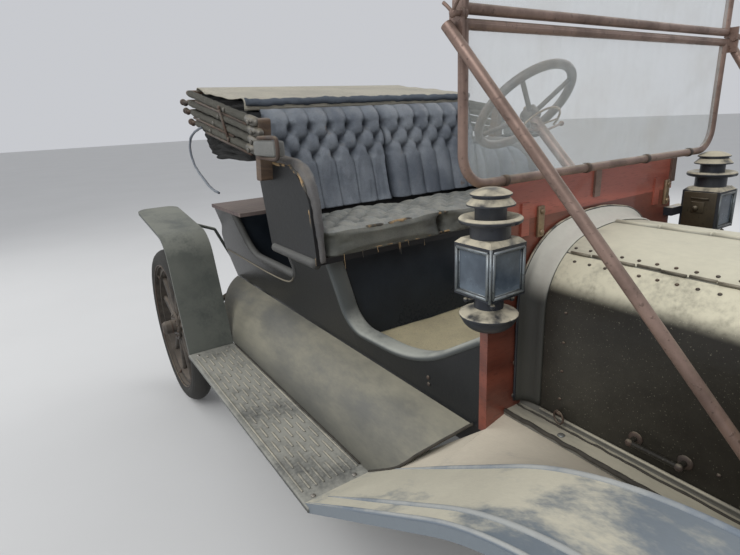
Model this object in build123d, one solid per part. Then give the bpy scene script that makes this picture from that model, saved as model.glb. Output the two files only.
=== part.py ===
"""An open four-seat motor car of about 1910, its rear seat taken off and its cloth top folded.

The chassis is a pair of channel rails on two transverse leaf springs. Above it stand a wooden
dash with a folding windshield, a four-panel hood, an open body with low side openings, one
tufted bench on a high seat shell, and a low box with a board on it where the rear seat was.
Right and left are the driver's. Everything is in millimetres.

Frame: X points forward, Y to the left, Z up. The origin is on the ground, midway between the
axles and the sides. Heights are from the ground.
"""
import os
from math import cos, hypot, pi, radians, sin, tan

from build123d import *

# Wheels and axles
WHEELBASE = 2540.0
TREAD = 1428.0            # between the middles of the left and right tyres
TYRE_RADIUS = 406.0
TYRE_SECTION = 50.0       # radius of the tyre's round section
RIM_RADIUS = 324.0        # outside of the steel rim, where the tyre seats
RIM_DEPTH = 6.0
RIM_WIDTH = 76.0
FELLOE_DEPTH = 24.0
FELLOE_WIDTH = 44.0
SPOKE_COUNT = 12
SPOKE_ROOT = 17.0         # radius of a spoke at the hub
SPOKE_TIP = 12.0
SPOKE_SUNK = 4.0          # of a spoke's tip in the felloe
HUB_RADIUS = 34.0
HUB_FLANGE_RADIUS = 74.0
HUB_FLANGE = 10.0
HUB_INNER = 58.0          # from the wheel's middle to the hub's inner face
HUB_OUTER = 88.0          # to the end of the hub cap
HUB_BEVEL = (8.0, 12.0)   # off the hub cap's radius and length
HUB_CORE = 68.0           # radius of the wood between the hub's flanges
SPINDLE_RADIUS = 15.0
SPINDLE_REACH = 72.0      # past the wheel's middle, inside the hub cap
RUNNING_FIT = 0.05        # radial clearance of a pin or shaft in its bore
DRUM_RADIUS = 108.0
DRUM_WALL = 5.0
DRUM_GAP = 8.0            # from the brake drum to its backing plate

FRONT_X = WHEELBASE / 2
REAR_X = -WHEELBASE / 2
WHEEL_Y = TREAD / 2
AXLE_Z = TYRE_RADIUS

# Dash, from which the body and the hood are laid out
DASH_X = FRONT_X - 660.0  # front face of the wooden dash
DASH_THICK = 25.0
DASH_HALF = 388.0
DASH_SPLIT_Z = 1155.0     # where the upper board sits on the lower one
DASH_TOP_Z = 1250.0
DASH_CORNER = 55.0        # rounding of the lower board's top corners
DASH_STEP = 6.0           # how far each end of the upper board stands in
STRAP = (26.0, 5.0, 78.0)  # width, thickness and height of the straps that join the boards
STRAP_Y = (-275.0, 295.0)

# Chassis rails
FRAME_TOP = 620.0
RAIL_DEPTH = 84.0
RAIL_WIDTH = 50.0
RAIL_WALL = 6.0
RAIL_SETBACK = 13.0       # rail's outside in from the body's side
CROSS_Z = FRAME_TOP - RAIL_DEPTH + RAIL_WALL   # underside of the cross members
RAIL_REAR_X = REAR_X + 24.0
RAIL_FRONT_X = DASH_X + 770.0
RAIL_LAP = 10.0           # how far a cross member reaches into the rails
CROSS_WIDTH = 70.0
CROSS_HEIGHT = 40.0
MIDDLE_CROSS_X = DASH_X - 1040.0
REAR_CROSS_LIFT = 63.0     # how far the rear cross member stands above the others

# Springs
LEAF_COUNT = 6
LEAF_THICK = 7.0
LEAF_WIDTH = 44.0
LEAF_STEP = 0.13          # how much of its length each leaf loses to the one above
SPRING_HALF = 545.0
SPRING_EYE = 30.0         # from the axle up to the spring's ends
SPRING_CLAMP = (54.0, 120.0, 8.0)  # length and width, and depth under the leaves
SHACKLE = (28.0, 16.0, 40.0)       # length, width and height

# Front axle and steering
KINGPIN_Y = 620.0
KINGPIN_RADIUS = 9.0
KNUCKLE_HEIGHT = 70.0
KNUCKLE_RADIUS = 18.0
FORK_WEB = 13.0           # thickness of the axle's fork behind the knuckle
FORK_CLEAR = 4.0
KINGPIN_HEAD = 8.0        # how far the kingpin stands out of each lug
SPINDLE_ROOT = 23.0       # radius of the spindle's thick root
SPINDLE_SHOULDER = 6.0    # from the root's end to the hub
RADIUS_ROD = 9.0
RADIUS_ROD_Y = 540.0
RADIUS_ROD_LIFT = 6.0     # middle of the front rods' ends above the beam's underside
LUG_HEIGHT = 15.0
LUG_GAP = 0.3             # between the knuckle's barrel and each lug of the axle
AXLE_BEAM = (32.0, 46.0)  # width and height of the front axle's beam
AXLE_BEAM_Z = 360.0       # underside of the beam
STEER_ARM = 150.0         # kingpin to tie-rod pin
STEER_ARM_Z = AXLE_Z + 12.0
STEER_ARM_SIZE = 16.0
TIE_PIN_RADIUS = 6.0
TIE_EYE_RADIUS = 14.0
TIE_ROD_RADIUS = 7.0
DRAG_LINK_RADIUS = 6.0
TIE_EYE_HEIGHT = 16.0
TIE_PIN_HEAD = 6.0        # how far the steering arm's pin stands out of the tie rod's eye
OPEN_PIVOT_FIT = 1.0      # radial clearance of the tie rod's left eye, where the linkage is opened
STEER_Y = 215.0
STEER_SLOPE = 45.0        # of the column, from the level
STEER_DASH_Z = 985.0     # height of the column's axis at the dash's front face
COLUMN_RADIUS = 17.0
COLUMN_CLEAR = 2.0        # round the column in the dash
COLUMN_FLANGE = (90.0, 110.0, 5.0)  # width, height and thickness
COLUMN_BRACKET = (32.0, 28.0, 12.0)  # length, height, and depth under the rail's top flange
COLUMN_BRACKET_UP = 62.0  # along the column from its lower end to the bracket
BRACKET_PIN = 12.0        # radius of what joins the bracket to the column
HAND_LEVER = (120.0, 4.0, 9.0)       # reach of spark and throttle levers, rod and knob radius
HAND_LEVER_DOWN = (60.0, 30.0)       # root and tip, down the column from its head
STEERING_WHEEL_BACK = 600.0    # along the column, from the dash's front face to the wheel
STEERING_WHEEL_RADIUS = 174.0
STEERING_RIM_RADIUS = 15.0
STEERING_HUB_RADIUS = 30.0
STEERING_HUB_HEIGHT = 34.0
STEERING_SPOKES = 4
STEERING_SPOKE = 8.0      # radius
STEERING_SPOKE_DROP = 3.0  # of the spokes' roots below the hub's middle
STEERING_DISH = 53.0      # from the rim's plane down to the underside of the hub
COLUMN_END_GAP = 0.4      # between the column's jacket and what turns at its ends
PITMAN_ARM = 150.0
PITMAN_THICK = 14.0
PITMAN_HUB = 24.0
PITMAN_WIDTH = 16.0
PITMAN_BALL = 12.0
DRAG_LINK_DROP = 21.0     # from the pitman's ball down to the drag link
DRAG_LINK_END_Y = -KINGPIN_Y + 60.0

# Sheet metal
SHEET = 3.0
FENDER_GAP = 56.0         # front tyre to the crown of its fender
FENDER_INNER_Y = 550.0
FENDER_OUTER_Y = 780.0
FENDER_SWEEP = 780.0      # radius behind the front crown
FENDER_FALL = 32.5        # slope of the front fender's tail, from the level
FENDER_NOSE = 55.0        # how far the front crown turns down ahead of the axle
FENDER_LIP = 28.0
INNER_APRON_STEPS = 5     # sections of the inner apron along the crown's curve
LEDGE_INNER_Y = 266.0
LEDGE_OUTER_Y = 322.0
LEDGE_Z = 662.0
LEDGE_THICK = 12.0
APRON_FRONT_X = DASH_X + 600.0

BOARD_TOP = 414.0
BOARD_THICK = 20.0
BOARD_INNER_Y = 572.0
BOARD_OUTER_Y = 779.0
BOARD_REAR_X = DASH_X - 1439.0
BOARD_FRONT_X = DASH_X - 263.0
BRACKET_X = (DASH_X - 1250.0, DASH_X - 450.0)
BRACKET_WIDTH = 40.0
BRACKET_THICK = 8.0
BRACKET_SHORT = 15.0      # how far a bracket ends inside the board's outer edge

REAR_FENDER_FOOT_X = BOARD_REAR_X - 11.0
REAR_FENDER_LEAN = 16.7   # of its upright leg, from the vertical
REAR_FENDER_KNEE_Z = 921.0
REAR_FENDER_KNEE_RADIUS = 150.0
REAR_FENDER_TIP = (DASH_X - 2180.0, 992.0)
REAR_FENDER_TIP_RADIUS = 60.0
FENDER_IRON = 8.0         # radius of the rod that carries the rear fender
IRON_TOP = (50.0, 44.0)   # its upper end: inside the fender's inner edge, and under the tip
IRON_KNEE = (110.0, 110.0)           # its bend: inward of that edge, and under the tip
IRON_FOOT = 20.0          # its lower end, in from the rail's outside

APRON_SAG = 42.0          # how far the splash apron bulges from straight
APRON_TOP_Z = 624.0
APRON_GAP = 3.0           # from the body's side to the apron's top edge
APRON_END = 7.0           # from the apron's front edge to the dash and the board's end
APRON_REAR_LEAN = 14.0
APRON_REAR_X = DASH_X - 1868.0

# Body
BODY_WALL = 30.0
BODY_HALF = 385.0         # outside of the side at the sill
BODY_FLARE = 0.268        # how far the side leans out for each unit of height
RAIL_OUTER_Y = BODY_HALF - RAIL_SETBACK
BODY_TOP_Z = 1019.0
BODY_REAR_X = DASH_X - 1834.0
FLARE_FULL_X = DASH_X - 600.0
FLOOR_Z = 640.0
SEAT_Z = 967.0
DOOR_SILL_Z = 712.0
DOOR_REAR_X = DASH_X - 622.0
DOOR_TOP_Z = 884.0        # of the side where it meets the dash
REAR_SILL_Z = 822.0
REAR_DOOR_FRONT_X = DASH_X - 940.0
BOX_FRONT_X = DASH_X - 1470.0
DOOR_SLOPE = 33.0         # of the side's edge behind the dash, from the level
DOOR_SWEEP = 500.0        # radius where that edge meets the front sill
DOOR_CORNER = 80.0        # radius of the front opening's rear corner
BOX_LEAN = (40.0, 12.0)   # the box's front edge: ahead at its foot, back at its top
REAR_CORNER = (60.0, 110.0)          # radii of the rear opening's lower corners
TAIL_LINE = (             # the body's tail: X behind its rear end, drop from its top, radius
    (103.0, 0.0, 0.0), (112.0, 89.0, 40.0), (34.0, 151.0, 60.0), (0.0, 229.0, 60.0),
)
TOE_BOARD = (190.0, 150.0, 16.0)     # length and rise, and thickness
TOE_FOOT = 20.0           # of the toe board along the floor
RISER_INSET = (30.0, 10.0, 24.0)     # of the cross panels behind the sides' edges
PANEL = 14.0
BOX_BOARD = (DASH_X - 1745.0, DASH_X - 1343.0)   # rear and front edge
BOX_BOARD_LAP = 6.0       # how far the board stands out over the body's sides
BOX_BOARD_THICK = 16.0

# Seat
SEAT_FRONT_X = DASH_X - 583.0
SEAT_REAR_X = DASH_X - 915.0
SEAT_HALF = 530.0
SEAT_BOARD = 18.0
SEAT_SHELL = 18.0
ARM_FALL = 10.0           # of the arm's top towards its front
ARM_CORNERS = (110.0, 90.0)          # radii of the arm's front edge
ARM_TOP_Z = 1278.0
ARM_KNEE_Z = 1180.0       # where the arm's front edge turns back
ARM_SLANT = 22.0          # how far the front edge leans back up to there
ARM_SWEEP = 120.0         # and up to the arm's top
BACK_TOP_Z = 1440.0
BACK_LEAN = 100.0         # how far back the top of the back stands from its foot
CUSHION_HEIGHT = 98.0
CUSHION_SPLIT = 4.0       # half the gap between the two cushions
BACK_PAD = 74.0
BOLSTER = 24.0
BOLSTER_INSET = 8.0       # of a bolster's edge inside its arm's edge
CUSHION_CORNER = 28.0
CUSHION_BACK = 0.3        # share of the back pad's depth that the cushion reaches under
PAD_CORNERS = (8.0, 30.0, 20.0)
PAD_TAPER = 0.8           # depth of the back pad's top as a share of its foot's
PAD_GAP = 4.0             # between the cushion and the back pad
PAD_RISE = 10.0           # of the back pad's top over the back panel
SOFT_GAP = 0.3            # between a soft piece and what it rests on

# Folded top
BOW_Y = SEAT_HALF + 42.0
BOW_RADIUS = 11.0
BOW_TABLE = (             # front X behind the dash, front Z, rear X behind the dash, rear Z
    (-846.0, 1405.0, -1590.0, 1543.0),
    (-828.0, 1371.0, -1606.0, 1506.0),
    (-836.0, 1342.0, -1582.0, 1466.0),
    (-872.0, 1316.0, -1530.0, 1418.0),
)
TOP_HALF = SEAT_HALF + 10.0
TOP_IRON_FOOT = (-32.0, 10.0, 62.0, 8.0)  # rear and front X from the lowest bow's end, lap on the arm, radius
TOP_IRON_HEAD = ((42.0, 98.0, 8.0), (8.0, 104.0, 8.0))   # X and Z from that end, radius
TOP_FOLD_REAR = ((16.0, 6.0), (-60.0, 20.0))  # Z from the top bow's rear end, radius
TOP_FOLD = (              # the rest of the folded cloth: X and Z from the top bow's front, radius
    (-654.0, 15.0, 30.0), (-624.0, -100.0, 45.0), (-216.0, -100.0, 20.0), (-198.0, -4.0, 20.0),
    (-179.0, 74.0, 12.0),
)

# Windshield
GLASS_X = DASH_X + 35.0
SHIELD_HALF = 505.0
SHIELD_BOTTOM_Z = 1260.0
SHIELD_SPLIT_Z = 1568.0
SHIELD_TOP_Z = 1898.0
SHIELD_TUBE = 10.0        # radius
SHIELD_CORNER = 65.0
SHIELD_PART = 13.0        # from the split to the middle of each tube beside it
GLASS = 5.0
HINGE_AHEAD = 18.0        # hinge axis ahead of the glass
HINGE_PIN = 5.0
HINGE_PLATE = 6.0
HINGE_OUT = 14.0          # from the side tube's middle to the first hinge plate
STAY_DROP = 16.0          # from the hinge pins down to the stays' upper ends
STAY_TOP_Z = SHIELD_SPLIT_Z - STAY_DROP
STAY_RADIUS = 11.0
SHIELD_FOOT = (24.0, 6.0, 74.0, 8.0)  # width, thickness, drop down the dash, thickness on its top
SHIELD_FOOT_Y = (0.0, DASH_HALF - 14.0, 14.0 - DASH_HALF)
SHIELD_FOOT_RISE = 12.0
SHIELD_FOOT_LAP = 4.0     # how far a foot reaches past the middle of the tube
HINGE_PIN_END = 12.0      # how far the pin stands out of the outer plate
HINGE_EYE = 10.0          # radius of the plates' eyes
HINGE_PLATE_HALF = 8.0
HINGE_LUG = (6.0, 24.0)   # upper and lower edge of the lower lug, under the stay's upper end
UPPER_LUG = (12.0, 26.0)  # lower and upper edge of the upper lug, over the pins
STAY_TOP_Y = SHIELD_HALF + 41.0
STAY_FOOT_X = DASH_X + 731.0
STAY_FOOT_Y = 343.0

# Hood and radiator
HOOD_HALF = 262.0
HOOD_BOTTOM_Z = 681.0
HOOD_CROWN_Z = 1122.0
HOOD_SHOULDER_Z = 1085.0  # height of the corner that the hood's shoulder rounds
HOOD_SHOULDER = 170.0     # radius of that rounding
HOOD_HINGE_Y = 195.0
HOOD_REAR_X = DASH_X + 64.0
HOOD_FRONT_X = DASH_X + 620.0
HOOD_SKIN = 2.5
HOOD_JOINT = 3.0          # gap at the hood's hinge lines
HOOD_CROWN_RADIUS = 500.0
HOOD_CLEAR_Z = 1300.0     # a height over the whole hood
SHROUD_FIT = 0.3          # under the hood's skin
SHROUD_LAP = 12.0         # how far it reaches under the hood
SHROUD_GAP = 6.0          # from its raised part to the hood
SHROUD_FLANGE = (26.0, 30.0)         # outside over the hood, and width
LEDGE_SILL = (12.0, 8.0)  # of the upright sill: how far in and its thickness
LEDGE_WEB = 10.0
LEDGE_FOOT = (36.0, 6.0)  # width and thickness of the flange on the rail
RADIATOR_DEPTH = 88.0
RADIATOR_RIM = 38.0
RADIATOR_FOOT_Z = 622.0
RADIATOR_GROW = 8.0       # its outside over the hood's
RADIATOR_GAP = 1.0
RADIATOR_OPENING = (60.0, 105.0)     # its window: over the foot, and under the shoulder
CORE_INSET = (13.0, 12.0)            # of the core behind the shell's rear and front
FILLER = ((26.0, -10.0, 50.0), (34.0, 47.0, 63.0))   # radius, and heights over the hood's crown
RADIATOR_SLOTS = (24, 8.0, 12.0)      # number, width, and depth; as far from the core's ends as they are deep
RADIATOR_FOOT = (190.0, 250.0, 20.0)  # inner and outer Y, and inset from the shell's faces
HOOD_HANDLE = (DASH_X + 309.0, DASH_X + 409.0, 723.0, 24.0, 6.0)  # rear, front, Z, reach out, radius

# Lamps
SIDE_LAMP = (DASH_X + 72.0, 463.0)
SIDE_LAMP_BODY = 102.0
SIDE_LAMP_BASE_Z = 1036.0
SIDE_LAMP_HEIGHT = 121.0
SIDE_LAMP_SHOULDER = 10.0  # chamfer round the top of the square body
SIDE_LAMP_WINDOW = (84.0, 94.0, 8.0, 5.0)   # width, height, height over the foot, and depth
SIDE_LAMP_CHIMNEY = (     # radius, and height over the body's foot
    (0.0, 116.0), (41.0, 116.0), (41.0, 150.0), (57.0, 151.0), (63.0, 158.0), (57.0, 165.0), (32.0, 156.0),
    (32.0, 184.0), (49.0, 187.0), (49.0, 190.0), (37.0, 202.0), (37.0, 207.0), (42.0, 207.0), (42.0, 210.0),
)
SIDE_LAMP_DOME = ((24.0, 219.0), (4.0, 222.0))
SIDE_LAMP_FONT = ((0.0, 4.0), (31.0, 4.0), (31.0, -30.0), (60.0, -42.0), (60.0, -50.0))
SIDE_LAMP_BOWL = ((48.0, -70.0), (22.0, -82.0))
SIDE_LAMP_ARM = (40.0, 24.0, 34.0, 26.0, 4.0)  # over the foot, height, laps on dash and lamp, depth in lamp
HEADLAMP_X = DASH_X + 755.0
HEADLAMP_Y = 400.0
HEADLAMP_Z = 930.0
HEADLAMP_RADIUS = 118.0
HEADLAMP_DEPTH = 150.0
HEADLAMP_BEZEL = (12.0, 26.0, 14.0)  # its step over the drum, its depth, and the lens behind its edge
HEADLAMP_BACK = 98.0      # radius of the rounded back
HEADLAMP_CHIMNEY = (40.0, 50.0)
FORK_ROD = 9.0
FORK_OUT = 6.0            # from the bezel to the fork's prongs
FORK_DEPTH = (20.0, 60.0)  # prongs' ends and the fork's foot, under the drum
LAMP_POST = (11.0, 13.0, 12.0)       # radius, and radius and height of its socket on the rail
TAIL_LAMP_Y = 260.0
TAIL_LAMP_Z = (700.0, 790.0)
TAIL_LAMP_HALF = 34.0
TAIL_LAMP_BACK = 52.0     # from the body to the lamp's middle
TAIL_LAMP_STEPS = ((690.0, 28.0, 24.0), (800.0, 30.0, 24.0), (818.0, 20.0, 20.0))  # Z, radius, height
TAIL_LAMP_LENS = (30.0, 14.0)
TAIL_LAMP_ARM = (20.0, 4.0)          # width, and how far it reaches into the lamp

# Engine and drive line
ENGINE = (DASH_X + 130.0, DASH_X + 520.0, 110.0, 470.0, 900.0)  # rear, front, half width, foot, top
GEARBOX_REAR_X = DASH_X - 250.0
GEARBOX_HALF = 120.0
GEARBOX_TOP_Z = 600.0
TORQUE_TUBE = 32.0
DIFFERENTIAL = 132.0
AXLE_TUBE = 30.0
BALL_RADIUS = 16.0        # of the joint where the front radius rods meet
PIPE_RADIUS = 18.0
PIPE_BEND = (70.0, 120.0)  # ahead of the engine's rear, and above the muffler's middle
TAIL_PIPE = (120.0, 16.0)  # length and radius
MUFFLER = (DASH_X - 1600.0, DASH_X - 1140.0, -190.0, 515.0, 66.0)  # rear, front, Y, Z, radius
MUFFLER_STRAP = (60.0, 24.0, 16.0, 8.0)    # from the rear, length, width, and depth in the drum
ENGINE_ARM = (30.0, 4.0, 30.0)  # length, and gaps over the cross members' foot and under the rail's top
BALL_SOCKET = (4.0, 10.0)  # wall, and how far its foot lies above the ball's middle
GEARBOX_DROP = 30.0
TORQUE_TUBE_Z = 40.0      # its front end over the engine's foot
REAR_ROD_ROOT = 20.0      # from the backing plate's outside to the rod's middle
REAR_ROD_END = (90.0, 30.0, 32.0)          # behind the gearbox, Y, and over the engine's foot
REAR_TUBE_NOTCH = (60.0, 80.0)             # length and half width of the cut for the gearbox
BACKING_PLATE = (8.0, 8.0)                 # short of the drum's radius, and thickness

# Controls
PEDAL_Y = (STEER_Y - 150.0, STEER_Y - 60.0, STEER_Y + 60.0)
PEDAL_STEM = ((70.0, 88.0), (150.0, 190.0), 7.0)   # foot and head behind the dash and over the floor, radius
PEDAL_PAD = (72.0, 46.0, 10.0)
LEVER_INSET = 25.0        # from the side's inner face to the hand lever's middle
LEVER = ((260.0, 0.0), (330.0, 420.0), 10.0, 18.0)  # foot and head as above, radius, radius of the knob
CRANK = (                 # X from the radiator's front, Y, drop, radius, of the crank's three rods
    (70.0, 0.0, 0.0, 12.0), (64.0, 150.0, 90.0, 10.0), (170.0, 150.0, 90.0, 14.0),
)


def block(x0, x1, y0, y1, z0, z1):
    """A box between two corners."""
    return Pos((x0 + x1) / 2, (y0 + y1) / 2, (z0 + z1) / 2) * Box(x1 - x0, y1 - y0, z1 - z0)


def rod(start, end, radius):
    """A round bar between two points."""
    way = Vector(*end) - Vector(*start)
    return Solid.make_cylinder(radius, way.length, Plane(origin=start, z_dir=way))


def prism(corners, radii, y0, y1):
    """An outline of (x, z) corners, each rounded by its radius, carried from y0 to y1."""
    wire = FilletPolyline(*[(x, y0, z) for x, z in corners], radius=radii, close=True)
    return extrude(Face(Wire(wire.edges())), amount=y1 - y0, dir=(0, 1, 0))


def band(corners, radii, wall):
    """Corners and radii round a strip: the line, then its copy one wall to its right, backwards."""
    ways = []
    for (u0, v0), (u1, v1) in zip(corners, corners[1:]):
        length = hypot(u1 - u0, v1 - v0)
        ways.append(((u1 - u0) / length, (v1 - v0) / length))
    beside = []
    beside_radii = []
    for index, (u, v) in enumerate(corners):
        before = ways[max(index - 1, 0)]
        after = ways[min(index, len(ways) - 1)]
        share = wall / (1 + before[0] * after[0] + before[1] * after[1])
        beside.append((u + share * (before[1] + after[1]), v - share * (before[0] + after[0])))
        turn = before[0] * after[1] - before[1] * after[0]
        inner = 0 < index < len(corners) - 1
        if inner:
            beside_radii.append(radii[index - 1] + (wall if turn > 0 else -wall))
        else:
            beside_radii.append(0)
    return list(corners) + beside[::-1], [0, *radii, 0] + beside_radii[::-1]


def sheet(corners, radii, wall, y0, y1):
    """A bent sheet: a strip along (x, z) corners, wall thick to the line's right."""
    return prism(*band(corners, radii, wall), y0, y1)


def mirrored(shape):
    """The same shape on the car's other side."""
    return mirror(shape, about=Plane.XZ)


def turned(radius_steps, y_axis_point):
    """A solid turned about a line along Y, from (radius, y) corners; the point gives x and z."""
    x, z = y_axis_point
    wire = Polyline(*[(x, y, z + radius) for radius, y in radius_steps], close=True)
    return revolve(Face(Wire(wire.edges())), Axis((x, 0, z), (0, 1, 0)), 360)


def lathe(x, y, foot_z, outline, arc):
    """A solid turned on an upright axis: lines through (radius, height) points, an arc, and a flat end."""
    corners, (middle, end) = (
        [(x + radius, y, foot_z + height) for radius, height in points] for points in (outline, arc)
    )
    tip = (x, y, end[2])
    edges = [Line(start, stop).edge() for start, stop in zip(corners, corners[1:])]
    edges += [ThreePointArc(corners[-1], middle, end).edge()]
    edges += [Line(end, tip).edge(), Line(tip, corners[0]).edge()]
    return revolve(Face(Wire(edges)), Axis((x, y, 0), (0, 0, 1)), 360)


def frame_parts():
    """Channel rails, cross members and the brackets that carry the running boards."""
    rail_z = FRAME_TOP - RAIL_DEPTH
    rail_in = RAIL_OUTER_Y - RAIL_WIDTH
    foot_z = BOARD_TOP - BOARD_THICK - BRACKET_THICK
    solid = None
    for side in (1, -1):
        rail = block(RAIL_REAR_X, RAIL_FRONT_X, rail_in, RAIL_OUTER_Y, rail_z, FRAME_TOP)
        rail -= block(
            RAIL_REAR_X - 1, RAIL_FRONT_X + 1,
            rail_in - 1, RAIL_OUTER_Y - RAIL_WALL, rail_z + RAIL_WALL, FRAME_TOP - RAIL_WALL,
        )
        for x in BRACKET_X:
            end = x + BRACKET_WIDTH
            rail += block(x, end, rail_in, rail_in + BRACKET_THICK, foot_z, rail_z + RAIL_WALL)
            rail += block(x, end, rail_in, BOARD_OUTER_Y - BRACKET_SHORT, foot_z, foot_z + BRACKET_THICK)
        rail = rail if side > 0 else mirrored(rail)
        solid = rail if solid is None else solid + rail
    for x, lift in ((REAR_X, REAR_CROSS_LIFT), (MIDDLE_CROSS_X, 0), (FRONT_X, 0)):
        solid += block(
            x - CROSS_WIDTH / 2, x + CROSS_WIDTH / 2, -rail_in - RAIL_LAP, rail_in + RAIL_LAP,
            CROSS_Z + lift, CROSS_Z + lift + CROSS_HEIGHT,
        )
    return [solid]


def engine_parts():
    """Engine and gearbox as one block, with the arms that hang it in the rails."""
    rear, front, half, foot, top = ENGINE
    arm_y = RAIL_OUTER_Y - RAIL_WIDTH
    arm, over, under = ENGINE_ARM
    wall, lift = BALL_SOCKET
    ball_x, _, ball_z = wishbone_ball()
    solid = block(rear, front, -half, half, foot, top)
    solid += block(
        GEARBOX_REAR_X, rear + 1, -GEARBOX_HALF, GEARBOX_HALF, foot - GEARBOX_DROP, GEARBOX_TOP_Z
    )
    solid += block(rear - arm, rear, -arm_y, arm_y, CROSS_Z + over, FRAME_TOP - under)
    solid += rod((ball_x, 0, ball_z + lift), (ball_x, 0, foot), BALL_RADIUS + wall)
    solid -= Pos(ball_x, 0, ball_z) * Sphere(BALL_RADIUS + SOFT_GAP)
    return [solid]


def muffler_parts():
    """Muffler drum and the pipe that runs forward to the engine."""
    rear, front, y, z, radius = MUFFLER
    bend_x = ENGINE[0] + PIPE_BEND[0]
    bend_z = z + PIPE_BEND[1]
    tail, tail_radius = TAIL_PIPE
    from_end, length, width, sunk = MUFFLER_STRAP
    solid = rod((rear, y, z), (front, y, z), radius)
    solid += rod((front - 1, y, z), (bend_x, y, z), PIPE_RADIUS)
    solid += Pos(bend_x, y, z) * Sphere(PIPE_RADIUS)
    solid += rod((bend_x, y, z), (bend_x, y, bend_z), PIPE_RADIUS)
    solid += Pos(bend_x, y, bend_z) * Sphere(PIPE_RADIUS)
    solid += rod((bend_x, y, bend_z), (bend_x, -ENGINE[2], bend_z), PIPE_RADIUS)
    solid += rod((rear + 1, y, z), (rear - tail, y, z), tail_radius)
    for x in (rear + from_end, front - from_end):
        solid += block(x, x + length, y - width / 2, y + width / 2, z + radius - sunk, FRAME_TOP)
    return [solid]


def spring(axle_x, seat_z, eye_z):
    """One transverse leaf spring: a stack of arched leaves, each shorter than the one above."""
    solid = None
    for leaf in range(LEAF_COUNT):
        share = 1 - LEAF_STEP * leaf
        reach = SPRING_HALF * share
        top = seat_z - leaf * LEAF_THICK
        end = top - (seat_z - eye_z) * share**2
        rows = [[(axle_x, -reach, end - drop), (axle_x, 0, top - drop), (axle_x, reach, end - drop)]
                for drop in (0, LEAF_THICK)]
        face = Face(Wire([
            ThreePointArc(*rows[0]).edge(), Line(rows[0][2], rows[1][2]).edge(),
            ThreePointArc(*rows[1][::-1]).edge(), Line(rows[1][0], rows[0][0]).edge(),
        ]))
        plate = Pos(-LEAF_WIDTH / 2, 0, 0) * extrude(face, amount=LEAF_WIDTH, dir=(1, 0, 0))
        solid = plate if solid is None else solid + plate
    length, width, drop = SPRING_CLAMP
    return solid + block(
        axle_x - length / 2, axle_x + length / 2, -width / 2, width / 2,
        seat_z - LEAF_COUNT * LEAF_THICK - drop, seat_z,
    )


def spring_parts():
    """Front and rear springs, with the shackles that stand on the axles."""
    parts = []
    length, width, height = SHACKLE
    ends = (                  # axle's x, spring seat's height, top of the axle
        (FRONT_X, CROSS_Z, AXLE_BEAM_Z + AXLE_BEAM[1]),
        (REAR_X, CROSS_Z + REAR_CROSS_LIFT, AXLE_Z + AXLE_TUBE),
    )
    for axle_x, seat, perch_z in ends:
        solid = spring(axle_x, seat, perch_z + SPRING_EYE)
        for side in (1, -1):
            ys = sorted((side * SPRING_HALF, side * (SPRING_HALF - width)))
            solid += block(axle_x - length / 2, axle_x + length / 2, *ys, perch_z, perch_z + height)
        parts.append(solid)
    return parts


def wishbone_ball():
    """Middle of the ball where the front radius rods meet, under the engine."""
    return (ENGINE[0] + 30, 0, ENGINE[3] - 47)


def front_axle_parts():
    """The beam, its forked ends with the kingpins, and the radius rods to the gearbox."""
    width, height = AXLE_BEAM
    top = AXLE_BEAM_Z + height
    barrel_low = AXLE_Z - KNUCKLE_HEIGHT / 2
    barrel_high = AXLE_Z + KNUCKLE_HEIGHT / 2
    web_y = KINGPIN_Y - KNUCKLE_RADIUS - FORK_CLEAR - FORK_WEB
    rear, front = FRONT_X - KNUCKLE_RADIUS, FRONT_X + KNUCKLE_RADIUS
    pin = KNUCKLE_HEIGHT + 2 * (LUG_HEIGHT + KINGPIN_HEAD)
    solid = block(FRONT_X - width / 2, FRONT_X + width / 2, -web_y - 1, web_y + 1, AXLE_BEAM_Z, top)
    for side in (1, -1):
        end = block(
            rear, front, web_y, web_y + FORK_WEB,
            barrel_low - LUG_GAP - LUG_HEIGHT, barrel_high + LUG_GAP + LUG_HEIGHT,
        )
        for low in (barrel_low - LUG_GAP - LUG_HEIGHT, barrel_high + LUG_GAP):
            end += Pos(FRONT_X, KINGPIN_Y, low + LUG_HEIGHT / 2) * Cylinder(KNUCKLE_RADIUS + 2, LUG_HEIGHT)
            end += block(rear, front, web_y, KINGPIN_Y, low, low + LUG_HEIGHT)
        end += Pos(FRONT_X, KINGPIN_Y, AXLE_Z) * Cylinder(KINGPIN_RADIUS, pin)
        solid += end if side > 0 else mirrored(end)
        root = (FRONT_X, side * RADIUS_ROD_Y, AXLE_BEAM_Z + RADIUS_ROD_LIFT)
        solid += rod(root, wishbone_ball(), RADIUS_ROD)
    solid += Pos(*wishbone_ball()) * Sphere(BALL_RADIUS)
    return [solid]


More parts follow.
